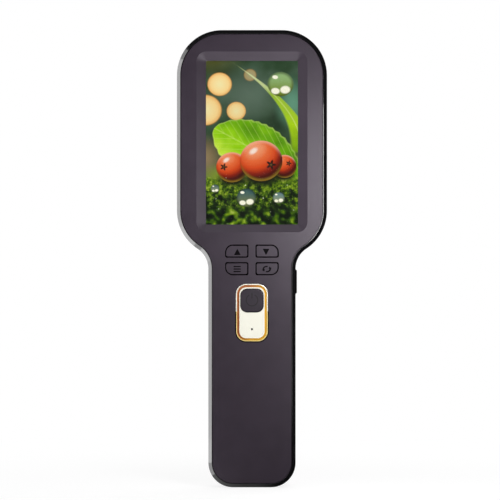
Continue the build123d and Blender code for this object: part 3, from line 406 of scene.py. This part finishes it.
def gold_trim(name):
    """Champagne gold plating with a groove that goes from copper to amber, as painted reflection.

    The rim of its lower half is yellower, with painted shadow at its foot.
    """
    finish = Finish(name)
    across, _, up = finish.coordinates()
    inset = trim_inset(finish)
    lower = trim_lower_half(finish)
    groove = finish.between(inset, 0.64 * MM, 1.88 * MM, 0.08 * MM)
    brush = finish.noise(0.0004, detail=3.0)
    plate = finish.mix(brush, srgb(255, 252, 234), srgb(255, 254, 243))
    copper = finish.mix(brush, srgb(182, 100, 48), srgb(204, 124, 62))
    amber = finish.mix(brush, srgb(238, 176, 44), srgb(250, 198, 66))
    # Painted reflection: the groove is coppery at the upper left and amber at the lower right.
    groove_painted_light = finish.mix(finish.ease(across - (up - TRIM_Z * MM) * 0.25, -6 * MM, 6 * MM), copper, amber)
    edge = finish.mix(lower * (1 - finish.ease(inset, 0.6 * MM, 1.0 * MM)), plate, srgb(252, 228, 150))
    # Painted shadow: the outer edge of the lower half is black.
    painted_foot_shadow = lower * (1 - finish.ease(inset, 0.16 * MM, 0.26 * MM))
    tint = finish.mix(painted_foot_shadow, finish.mix(groove, edge, groove_painted_light), SHADE_AND_INK_BLACK)
    rough = finish.spread(brush, 0.16, 0.22) + groove * 0.12 + painted_foot_shadow * 0.5
    return finish.surface({"Base Color": tint, "Metallic": 0.6, "Roughness": rough,
                           "Normal": finish.relief(brush, 0.000003)})


def clear_moulding(name, tint, roughness):
    """Clear plastic with a barely rubbed surface."""
    finish = Finish(name)
    haze = finish.noise(0.004, detail=3.0)
    return finish.surface({"Base Color": tint, "Roughness": roughness + haze * 0.03, "IOR": 1.49,
                           "Transmission Weight": 1.0, "Specular IOR Level": 0.3})


def metal(name, colour, roughness, grain):
    """Rolled or turned metal with a fine grain."""
    finish = Finish(name)
    grains = finish.noise(grain, detail=3.0)
    dark = tuple(c * 0.86 for c in colour[:3]) + (1,)
    return finish.surface({"Base Color": finish.mix(grains, dark, colour), "Metallic": 1.0,
                           "Roughness": finish.spread(grains, roughness - 0.06, roughness + 0.08),
                           "Normal": finish.relief(grains, 0.000004)})


def plain_plastic(name, colour, roughness):
    """Moulded small part, even in colour, with a fine grain."""
    return soft_touch(name, colour, roughness, grain=0.0003, depth=0.000006, lift=0.06)


class Picture(Finish):
    """Lit picture of the screen, laid out in millimetres from the middle of its lower edge."""

    def __init__(self, name):
        super().__init__(name)
        across, self.depth, up = self.coordinates()
        self.x = across * 1000
        self.z = up * 1000 - SCREEN_Z
        self.flat = self.node("ShaderNodeCombineXYZ", None, {0: self.x, 1: self.z})
        self.colour = (0.0, 0.0, 0.0, 1.0)

    def lay(self, mask, colour):
        """Lays a colour over the picture where the mask is 1."""
        self.colour = self.mix(mask, self.colour, colour)

    def away(self, x, z, wide, high, turn=0.0):
        """Distance from a place, as a share of an ellipse's half-sizes."""
        across, up = self.x - x, self.z - z
        if turn:
            c, s = math.cos(math.radians(turn)), math.sin(math.radians(turn))
            across, up = across * c + up * s, up * c - across * s
        across, up = across / wide, up / high
        return self.maths("SQRT", across * across + up * up)

    def glow(self, x, z, wide, high, strength, colour):
        """Blurred patch of colour."""
        self.lay((1 - self.ease(self.away(x, z, wide, high), 0.0, 1.0)) * strength, colour)

    def disc(self, x, z, radius, strength=1.0, soft=0.06):
        """Out-of-focus light: pale in the middle, deeper towards its edge."""
        away = self.away(x, z, radius, radius * 0.96)
        body = self.ramp(away, (0.0, srgb(252, 238, 176)), (0.72, srgb(255, 219, 146)),
                         (0.93, srgb(246, 190, 112)), (1.0, srgb(196, 138, 66)))
        self.lay((1 - self.ease(away, 1 - soft, 1 + soft)) * strength, body)

    def berry(self, x, z, radius, tip_x, tip_z, shade=0.0):
        """Round glossy berry with a dark star where the flower was."""
        across, up = (self.x - x) / radius, (self.z - z) / (radius * 0.95)
        far = across * across + up * up
        bulge = self.maths("SQRT", self.maths("MAXIMUM", 1 - far, 0.0))
        light = across * -0.30 + up * 0.58 + bulge * 0.72 + (self.speck - 0.5) * 0.10 - shade
        skin = self.ramp(light, (0.0, srgb(74, 12, 8)), (0.26, srgb(142, 34, 14)), (0.52, srgb(214, 72, 24)),
                         (0.78, srgb(232, 106, 54)), (0.97, srgb(244, 158, 112)))
        body = 1 - self.ease(far, 0.955, 1.02)
        self.lay(1 - self.ease(self.away(x, z - radius * 0.75, radius * 1.25, radius * 0.6), 0.4, 1.0),
                 srgb(18, 24, 10))
        self.lay(body, skin)
        edge = self.ease(far, 0.62, 1.0) * body
        self.lay(edge * (1 - self.ease(up, -0.9, 0.1)) * 0.55, srgb(176, 150, 44))
        self.lay(edge * self.ease(up, 0.1, 0.8) * 0.55, srgb(255, 206, 176))
        gleam = self.away(x - 0.36 * radius, z + 0.46 * radius, 0.30 * radius, 0.17 * radius, 35)
        self.lay((1 - self.ease(gleam, 0.3, 1.0)) * 0.85, srgb(255, 240, 226))
        star_x, star_z = self.x - (x + tip_x * radius), self.z - (z + tip_z * radius)
        turn = self.maths("ARCTAN2", star_z, star_x)
        reach = (0.17 + self.maths("COSINE", turn * 5.0) * 0.07) * radius
        star = self.maths("SQRT", star_x * star_x + star_z * star_z) / reach
        self.lay((1 - self.ease(star, 0.8, 1.15)) * body, srgb(34, 22, 16))
        self.lay((1 - self.ease(star, 0.0, 0.45)) * body, srgb(120, 92, 44))

    def dew(self, x, z, radius, top, low):
        """Water drop: dark rim, tinted inside and bright where the light gathers."""
        away = self.away(x, z, radius, radius * 0.94)
        body = 1 - self.ease(away, 0.95, 1.04)
        height = (self.z - z) / radius
        self.lay(body * 0.92, self.mix(self.ease(height, -0.8, 0.7), low, top))
        self.lay(body * self.ease(away, 0.72, 1.0) * 0.6, srgb(22, 34, 26))
        for side, drop, wide, high in ((-0.40, -0.52, 0.36, 0.26), (0.36, -0.42, 0.42, 0.32),
                                       (-0.42, 0.55, 0.24, 0.16)):
            spot = self.away(x + side * radius, z + drop * radius, wide * radius, high * radius, 12 * side)
            self.lay((1 - self.ease(spot, 0.7, 1.1)) * body, srgb(255, 252, 228))

    def leaf(self, x, z, turn, length, width):
        """Broad leaf with a midrib, side veins and a toothed edge."""
        c, s = math.cos(math.radians(turn)), math.sin(math.radians(turn))
        across, up = self.x - x, self.z - z
        along = (across * c + up * s) / length
        side = up * c - across * s + self.maths("SINE", along * 3.0) * 2.0
        wide = self.maths("MAXIMUM", along * (1 - along) * 4.0, 0.0) ** 0.62 * width
        tooth = self.maths("PINGPONG", along * 13.0 + self.haze * 1.5, 0.5)
        off = self.maths("ABSOLUTE", side)
        inside = self.ease(wide + tooth * 1.4 - off, 0.0, 0.9) * self.between(along, 0.0, 1.0, 0.012)
        vein_run = self.maths("PINGPONG", along * 9.0 - off * 0.30, 0.5)
        vein = (1 - self.ease(vein_run, 0.02, 0.11)) * 0.55 + (1 - self.ease(off, 0.10, 0.55)) * 0.8
        light = self.haze * 0.7 + self.ease(side, -12.0, 13.0) * 0.55 + along * 0.1
        blade = self.ramp(light, (0.15, srgb(52, 108, 4)), (0.45, srgb(104, 168, 6)),
                          (0.7, srgb(148, 208, 12)), (0.95, srgb(194, 230, 60)))
        self.lay(inside, blade)
        self.lay(inside * vein * 0.45, srgb(214, 236, 120))
        self.lay(inside * (1 - self.ease(wide + tooth * 1.4 - off, 0.2, 1.6)) * 0.5, srgb(222, 240, 130))


def macro_picture(name):
    """Close view of orange berries on moss in front of a leaf, with dew and soft lights behind."""
    scape = Picture(name)
    scape.haze = scape.noise(9.0, detail=1.5, place=scape.flat)
    scape.speck = scape.noise(0.8, detail=3.0, place=scape.flat)
    scape.colour = scape.ramp(scape.haze * 0.6 + scape.noise(26.0, detail=0.0, place=scape.flat) * 0.55,
                              (0.30, srgb(26, 42, 24)), (0.52, srgb(48, 72, 48)), (0.72, srgb(70, 94, 74)))
    scape.glow(-2, 70, 24, 20, 0.85, srgb(92, 112, 96))
    scape.glow(-22, 92, 22, 15, 0.9, srgb(82, 80, 26))
    scape.glow(22, 66, 12, 18, 0.8, srgb(104, 160, 132))
    scape.glow(14, 92, 20, 12, 0.6, srgb(36, 62, 34))
    scape.glow(4, 52, 20, 9, 0.7, srgb(28, 48, 30))
    scape.glow(-26, 36, 13, 15, 0.9, srgb(150, 128, 92))
    scape.glow(26, 30, 15, 12, 0.9, srgb(150, 170, 60))
    scape.glow(-12, 26, 22, 9, 0.8, srgb(150, 176, 34))
    scape.disc(-17.5, 76.0, 6.6)
    scape.disc(-25.0, 62.0, 8.6, 0.95)
    scape.disc(-8.5, 61.5, 5.2, 0.9)
    scape.disc(-1.0, 81.0, 3.4, 0.35, soft=0.16)

    # grass blade with a drop on it
    rise = scape.z - 40.0
    middle = scape.x - (27.0 - rise * rise * 0.0165)
    half = scape.maths("MAXIMUM", 6.0 - rise * 0.13, 0.02)
    blade = scape.between(middle / half, -1.0, 1.0, 0.2) * scape.ease(rise, -2.0, 0.0)
    tone = scape.ramp(rise / 44.0 + (scape.haze - 0.5) * 0.4,
                      (0.0, srgb(104, 150, 10)), (0.35, srgb(172, 212, 18)),
                      (0.65, srgb(150, 182, 60)), (1.0, srgb(206, 208, 176)))
    scape.lay(blade * (1 - scape.ease(rise, 41.0, 44.5)), tone)
    scape.lay(blade * (1 - scape.ease(scape.maths("ABSOLUTE", middle), 0.1, 0.6)) * 0.4, srgb(228, 240, 150))
    scape.dew(15.5, 76.0, 7.0, srgb(150, 186, 120), srgb(120, 140, 34))

    scape.leaf(25.5, 22.0, 147.0, 55.0, 15.5)

    # moss, sharp in the middle and blurred towards the front
    drift = scape.node("ShaderNodeTexNoise", None, {"Vector": scape.flat, "Scale": 0.9}, output="Color")
    warp = scape.node("ShaderNodeVectorMath", {"operation": "ADD"}, {0: scape.flat, 1: drift})
    tufts = scape.noise(2.6, detail=6.0, place=warp, roughness=0.68)
    blurred = scape.noise(4.2, detail=1.0, place=warp)
    fringe = 25.5 + (scape.haze - 0.5) * 9.0 + (tufts - 0.5) * 7.0
    front = 1 - scape.ease(scape.z, 5.0, 12.0)
    growth = tufts * (1 - front) + blurred * front
    lift = scape.ease(scape.z, 14.0, 26.0) * 0.13
    moss = scape.ramp(growth + lift, (0.38, srgb(6, 14, 5)), (0.48, srgb(24, 44, 10)),
                      (0.56, srgb(62, 96, 12)), (0.66, srgb(124, 156, 24)), (0.80, srgb(204, 214, 110)))
    scape.lay(scape.ease(fringe - scape.z, -0.8, 0.8), moss)
    leaflets = scape.cells(1.15, place=warp, feature="DISTANCE_TO_EDGE")
    scape.lay(scape.ease(fringe - scape.z, 0.0, 2.5) * (1 - front) * scape.ease(leaflets, 0.16, 0.34)
              * scape.ease(growth, 0.46, 0.62) * 0.55, srgb(176, 186, 70))

    scape.berry(17.6, 31.5, 6.6, 0.35, 0.25, shade=0.12)
    scape.berry(-10.8, 31.0, 8.6, -0.52, 0.02, shade=0.06)
    scape.berry(5.0, 34.5, 11.6, 0.46, -0.18)

    scape.dew(-3.0, 14.5, 5.2, srgb(64, 96, 100), srgb(120, 130, 80))
    scape.dew(14.5, 14.5, 3.2, srgb(110, 140, 140), srgb(150, 160, 120))
    scape.dew(-20.0, 19.5, 2.3, srgb(90, 112, 110), srgb(150, 160, 120))
    sparkle = scape.cells(2.3, place=scape.flat)
    chance = scape.node("ShaderNodeTexWhiteNoise", {"noise_dimensions": "3D"}, {
        "Vector": scape.cells(2.3, place=scape.flat, output="Position")})
    scape.lay((1 - scape.ease(sparkle, 0.06, 0.17)) * scape.ease(chance, 0.72, 0.76)
              * scape.ease(fringe - scape.z, 0.5, 2.0) * (1 - front * 0.7), srgb(246, 250, 224))

    lit = (scape.between(scape.x, -SCREEN_WIDTH / 2, SCREEN_WIDTH / 2, 0.02)
           * scape.between(scape.z, 0.0, SCREEN_HEIGHT, 0.02)
           * (1 - scape.ease(scape.depth, -7.69 * MM, -7.66 * MM)))
    scape.colour = scape.mix(lit, (0.0, 0.0, 0.0, 1.0), scape.colour)
    return scape.surface({"Base Color": (0.006, 0.006, 0.007, 1), "Roughness": 0.4, "Specular IOR Level": 0.2,
                          "Emission Color": scape.colour, "Emission Strength": 1.0})


def coloured_board(name, green, copper, legend):
    """Printed board: mask over tracks, with plated pads left uncovered."""
    finish = Finish(name)
    tracks = finish.cells(0.0022, feature="DISTANCE_TO_EDGE")
    pads = finish.cells(0.0011)
    under = finish.mix(finish.ease(tracks, 0.05, 0.09), green, copper)
    tint = finish.mix(1 - finish.ease(pads, 0.10, 0.16), under, legend)
    return finish.surface({"Base Color": tint, "Roughness": 0.28 + finish.noise(0.0008) * 0.12,
                           "Normal": finish.relief(tracks, 0.00001)})


def lamp_faces(name):
    """White lamp bodies with a round yellow phosphor window in each."""
    finish = Finish(name)
    across, depth, up = finish.coordinates()
    step = 2 * math.pi / LAMP_COUNT
    rise = up - LENS_Z * MM
    turn = finish.maths("ARCTAN2", rise, across) / step
    off = (finish.maths("FRACT", turn + 0.5) - 0.5) * (LAMP_CIRCLE * MM * step)
    out = finish.maths("SQRT", across * across + rise * rise) - LAMP_CIRCLE * MM
    away = finish.maths("SQRT", off * off + out * out)
    window = (1 - finish.ease(away, 0.98 * MM, 1.08 * MM)) * finish.ease(depth, 23.2 * MM, 23.24 * MM)
    grains = finish.noise(0.0003, detail=2.0)
    yellow = finish.mix(grains, srgb(238, 206, 70), srgb(250, 226, 110))
    tint = finish.mix(window, finish.mix(grains, srgb(228, 228, 224), srgb(240, 240, 238)), yellow)
    return finish.surface({"Base Color": tint, "Roughness": 0.34 + grains * 0.1,
                           "Normal": finish.relief(grains, 0.000004)})


def charging_port(name):
    """Bright steel shell round a dark tongue with gold-plated contacts."""
    finish = Finish(name)
    _, depth, up = finish.coordinates()
    off_y = finish.maths("ABSOLUTE", depth - PORT_Y * MM)
    off_z = finish.maths("ABSOLUTE", up - PORT_Z * MM)
    tongue = (1 - finish.ease(off_y, 0.36 * MM, 0.38 * MM)) * (1 - finish.ease(off_z, 3.38 * MM, 3.40 * MM))
    stripe = finish.ease(finish.maths("PINGPONG", off_z * 2000, 0.5), 0.2, 0.28)
    contact = tongue * stripe * finish.ease(off_y, 0.33 * MM, 0.345 * MM)
    grains = finish.noise(0.0003, detail=2.0)
    tint = finish.mix(tongue, finish.mix(grains, srgb(196, 196, 200), srgb(214, 214, 218)), srgb(22, 22, 24))
    tint = finish.mix(contact, tint, srgb(236, 196, 106))
    return finish.surface({"Base Color": tint, "Metallic": 1 - tongue + contact,
                           "Roughness": 0.26 + grains * 0.12})


# New pieces
def start_piece(name):
    piece = bpy.context.object
    piece.name = name
    bpy.ops.object.transform_apply(location=True, rotation=True, scale=True)
    return piece


def round_corners(piece, radius, along):
    """Bevels the edges that run along one direction."""
    bpy.ops.object.mode_set(mode="EDIT")
    bpy.ops.mesh.select_all(action="DESELECT")
    shape = bmesh.from_edit_mesh(piece.data)
    for edge in shape.edges:
        run = (edge.verts[1].co - edge.verts[0].co).normalized()
        edge.select = abs(run.dot(Vector(along))) > 0.99
    bmesh.update_edit_mesh(piece.data)
    bpy.ops.mesh.select_mode(type="EDGE")
    bpy.ops.mesh.bevel(offset=radius, segments=4, affect="EDGES")
    bpy.ops.object.mode_set(mode="OBJECT")


def printed_bar(name, x, z, width, height, face_y):
    bpy.ops.object.select_all(action="DESELECT")
    bpy.ops.mesh.primitive_cube_add(size=1, location=(x * MM, (face_y - INK / 2 + SUNK) * MM, z * MM),
                                    scale=(width * MM, INK * MM, height * MM))
    piece = start_piece(name)
    round_corners(piece, min(width, height) * 0.3 * MM, (0, 1, 0))
    return piece


def printed_triangle(name, x, z, radius, face_y, turn, squash=1.0):
    bpy.ops.object.select_all(action="DESELECT")
    bpy.ops.mesh.primitive_cylinder_add(vertices=3, radius=radius * MM, depth=INK * MM)
    piece = bpy.context.object
    piece.scale = (1, squash, 1)
    bpy.ops.object.transform_apply(scale=True)
    piece.rotation_euler = (math.radians(90), math.radians(turn), 0)
    piece.location = (x * MM, (face_y - INK / 2 + SUNK) * MM, z * MM)
    piece = start_piece(name)
    round_corners(piece, radius * 0.12 * MM, (0, 1, 0))
    return piece


def printed_arc(name, x, z, radius, stroke, face_y, start, sweep):
    """Flat ring part, swept from a small rectangle about the symbol's middle."""
    bpy.ops.object.select_all(action="DESELECT")
    place = Matrix.Rotation(math.radians(-start), 4, "Y") @ Vector((radius, 0, 0))
    bpy.ops.mesh.primitive_plane_add(size=1, location=((x + place.x) * MM, (face_y - INK / 2 + SUNK) * MM,
                                                       (z + place.z) * MM),
                                     rotation=(0, math.radians(-start), 0))
    piece = bpy.context.object
    piece.scale = (stroke * MM, INK * MM, 1)
    piece = start_piece(name)
    bpy.ops.object.mode_set(mode="EDIT")
    bpy.ops.mesh.select_all(action="SELECT")
    bpy.ops.mesh.spin(steps=max(6, round(sweep / 9)), angle=math.radians(sweep),
                      center=(x * MM, face_y * MM, z * MM), axis=(0, 1, 0))
    bpy.ops.mesh.select_all(action="SELECT")
    bpy.ops.mesh.remove_doubles(threshold=1e-7)
    bpy.ops.mesh.normals_make_consistent(inside=False)
    bpy.ops.object.mode_set(mode="OBJECT")
    return piece


def joined(name, *pieces):
    bpy.ops.object.select_all(action="DESELECT")
    for piece in pieces:
        piece.select_set(True)
    bpy.context.view_layer.objects.active = pieces[0]
    bpy.ops.object.join()
    pieces[0].name = name
    return pieces[0]


def fit(piece, body, finish):
    piece.data.materials.clear()
    piece.data.materials.append(finish)
    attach(piece, body)


def assign(finish, *names):
    for name in names:
        mesh = nodes[name].data
        mesh.materials.clear()
        mesh.materials.append(finish)


# Painted shade: each key is black on its sides deeper than its face; the side key lies all deeper, so it is
# black all over.
satin_keys = soft_touch("key satin", srgb(48, 39, 50), 0.38, painted_shade=below(KEY_SHADE_Y))
steel = metal("bright steel", (0.62, 0.62, 0.63, 1), 0.3, 0.0004)
lens_black = plain_plastic("lens black", srgb(20, 20, 21), 0.42)
switch_black = plain_plastic("switch black", srgb(26, 26, 28), 0.5)
ivory = plain_plastic("connector ivory", srgb(226, 218, 198), 0.45)
amber_film = soft_touch("amber ribbon film", srgb(196, 118, 34), 0.34, grain=0.0009, depth=0.000004)
optical = clear_moulding("coated glass", (0.80, 0.86, 0.95, 1), 0.0)
green_board = coloured_board("green board", srgb(16, 84, 44), srgb(30, 112, 62), srgb(206, 172, 96))
# Painted shade on the walls of the key openings, and a painted shadow line round the lower half of the trim.
assign(soft_touch("aubergine soft touch", srgb(48, 39, 50), 0.38, painted_shade=cover_painted_shade), "front_cover")
assign(gloss_band("gloss black band"), "middle_frame")
assign(soft_touch("rear shell grain", srgb(52, 46, 54), 0.5, grain=0.00032, depth=0.000022), "rear_cover")
assign(satin_keys, "key_up", "key_down", "key_menu", "key_rotate", "side_key")
# Painted shade: the power button is black behind its face.
assign(soft_touch("power button satin", srgb(38, 31, 40), 0.38, painted_shade=below(POWER_SHADE_Y), mark=power_symbol),
       "power_button")
assign(gold_trim("champagne gold"), "capsule_trim")
assign(clear_moulding("screen glass", (0.98, 0.985, 0.98, 1), 0.0), "screen_window")
assign(clear_moulding("clear hood plastic", (0.93, 0.96, 0.97, 1), 0.03), "contact_hood")
assign(clear_moulding("smoked light pipe", (0.22, 0.22, 0.20, 1), 0.1), "indicator_light_pipe")
assign(optical, "front_lens", "rear_lens", "sensor_filter")
assign(lens_black, "lens_mount", "lens_barrel", "lens_retainer", "nose_plate")
assign(soft_touch("focus grip rubber", srgb(30, 29, 31), 0.62, grain=0.0004, depth=0.00003), "focus_ring")
assign(steel, "rear_screws", "bracket_screws", "board_screws", "camera_screws", "mount_screws", "barrel_pins",
       "lcd_bracket", "card_socket", "focus_washer")
assign(charging_port("charging port steel"), "usb_port")
assign(macro_picture("lit screen"), "lcd_panel")
assign(plain_plastic("backlight white", srgb(228, 230, 228), 0.4), "backlight_unit")
assign(soft_touch("black foam", srgb(24, 24, 25), 0.9, grain=0.0005, depth=0.00005), "window_gasket",
       "battery_pad")
assign(amber_film, "lcd_flex", "camera_flex", "led_flex")
assign(switch_black, "key_up_plunger", "key_down_plunger", "key_menu_plunger", "key_rotate_plunger",
       "key_switches", "power_plunger", "power_switch", "side_plunger", "side_switch")
assign(green_board, "main_board", "camera_board")
assign(coloured_board("white lamp board", srgb(232, 232, 228), srgb(240, 240, 238), srgb(206, 206, 206)),
       "led_board")
assign(lamp_faces("lamp phosphor"), "lamp_leds")
assign(plain_plastic("indicator lamp", srgb(236, 232, 210), 0.3), "indicator_led")
assign(plain_plastic("chip black", srgb(22, 22, 24), 0.45), "board_chips", "image_sensor")
assign(ivory, "lcd_connector", "camera_connector", "battery_connector")
assign(soft_touch("cell wrap", srgb(44, 104, 160), 0.3, grain=0.002, depth=0.00001), "battery_cell")
assign(plain_plastic("lead insulation", srgb(160, 20, 18), 0.45), "battery_leads")


# Printed symbols, and screws with a cross recess
symbol_print = soft_touch("symbol print", srgb(8, 7, 9), 0.6, depth=0.000004, sheen=0.06)

fit(printed_triangle("up_mark", -7.9, 126.8, 2.1, KEY_FACE_Y, 0, 1.08), "up_key", symbol_print)
fit(printed_triangle("down_mark", 7.6, 127.9, 2.1, KEY_FACE_Y, 180, 1.08), "down_key", symbol_print)
menu_bars = [printed_bar(f"menu_bar_{n}", -KEY_X, LOWER_KEYS_Z + level, 3.9, 0.62, KEY_FACE_Y)
             for n, level in enumerate((-1.35, 0.0, 1.35))]
fit(joined("menu_mark", *menu_bars), "menu_key", symbol_print)


def turning_arrows(name, x, z):
    """Two arrows that follow each other round, a little wider than high."""
    radius, stroke, sweep, head, wide, high = 1.65, 0.74, 128, 0.95, 1.12, 0.86
    marks = []
    for n, start in enumerate((75, 255)):
        marks.append(printed_arc(f"turn_arc_{n}", x, z, radius, stroke, KEY_FACE_Y, start, sweep))
        end = math.radians(start + sweep)
        tip_x, tip_z = x + radius * math.cos(end), z + radius * math.sin(end)
        marks.append(printed_triangle(f"turn_head_{n}", tip_x, tip_z, head, KEY_FACE_Y - 0.01,
                                      -(start + sweep)))
    whole = joined(name, *marks)
    whole.scale = (wide, 1, high)
    whole.location = ((1 - wide) * x * MM, 0, (1 - high) * z * MM)
    bpy.ops.object.transform_apply(location=True, rotation=True, scale=True)
    return whole


fit(turning_arrows("rotate_mark", KEY_X, LOWER_KEYS_Z), "rotate_key", symbol_print)


def turned_rod(name, x, z, size, vertices):
    """Round rod along Y, of a radius, height and middle that size gives."""
    bpy.ops.object.select_all(action="DESELECT")
    bpy.ops.mesh.primitive_cylinder_add(
        vertices=vertices, radius=size["radius"] * MM, depth=size["height"] * MM,
        location=(x * MM, size["y"] * MM, z * MM), rotation=(math.radians(-90), 0, 0))
    return start_piece(name)


def cross_screw(name, x, z):
    """Pan-head screw whose recess faces outwards from the rear cover."""
    head = turned_rod(name, x, z, SCREW_HEAD, 40)
    bpy.ops.object.mode_set(mode="EDIT")
    bpy.ops.mesh.select_all(action="DESELECT")
    shape = bmesh.from_edit_mesh(head.data)
    for edge in shape.edges:
        edge.select = all(v.co.y > SCREW_HEAD["y"] * MM for v in edge.verts)
    bmesh.update_edit_mesh(head.data)
    bpy.ops.mesh.bevel(offset=0.5 * MM, segments=4, affect="EDGES")
    bpy.ops.object.mode_set(mode="OBJECT")
    for turn in (0, 90):
        bpy.ops.object.select_all(action="DESELECT")
        bpy.ops.mesh.primitive_cube_add(size=1, location=(x * MM, 7.1 * MM, z * MM),
                                        rotation=(0, math.radians(turn + 20), 0),
                                        scale=(2.2 * MM, 1.2 * MM, 0.5 * MM))
        cutter = start_piece("recess_cutter")
        cut = head.modifiers.new("recess", "BOOLEAN")
        cut.operation = "DIFFERENCE"
        cut.solver = "EXACT"
        cut.object = cutter
        bpy.context.view_layer.objects.active = head
        bpy.ops.object.modifier_apply(modifier="recess")
        bpy.data.objects.remove(cutter)
    shank = turned_rod(name + "_shank", x, z, SCREW_SHANK, 24)
    whole = joined(name, head, shank)
    bpy.ops.object.shade_smooth_by_angle(angle=math.radians(35))
    return whole


blackened = metal("blackened screw steel", (0.13, 0.13, 0.14, 1), 0.32, 0.0003)
screws = [cross_screw(f"rear_screw_{n}", x, z)
          for n, (x, z) in enumerate((side * x, z) for side in (-1, 1) for x, z in SCREW_PLACES)]
screw_set = joined("rear_screw_set", *screws)
fit(screw_set, "housing", blackened)
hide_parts("rear_screws")
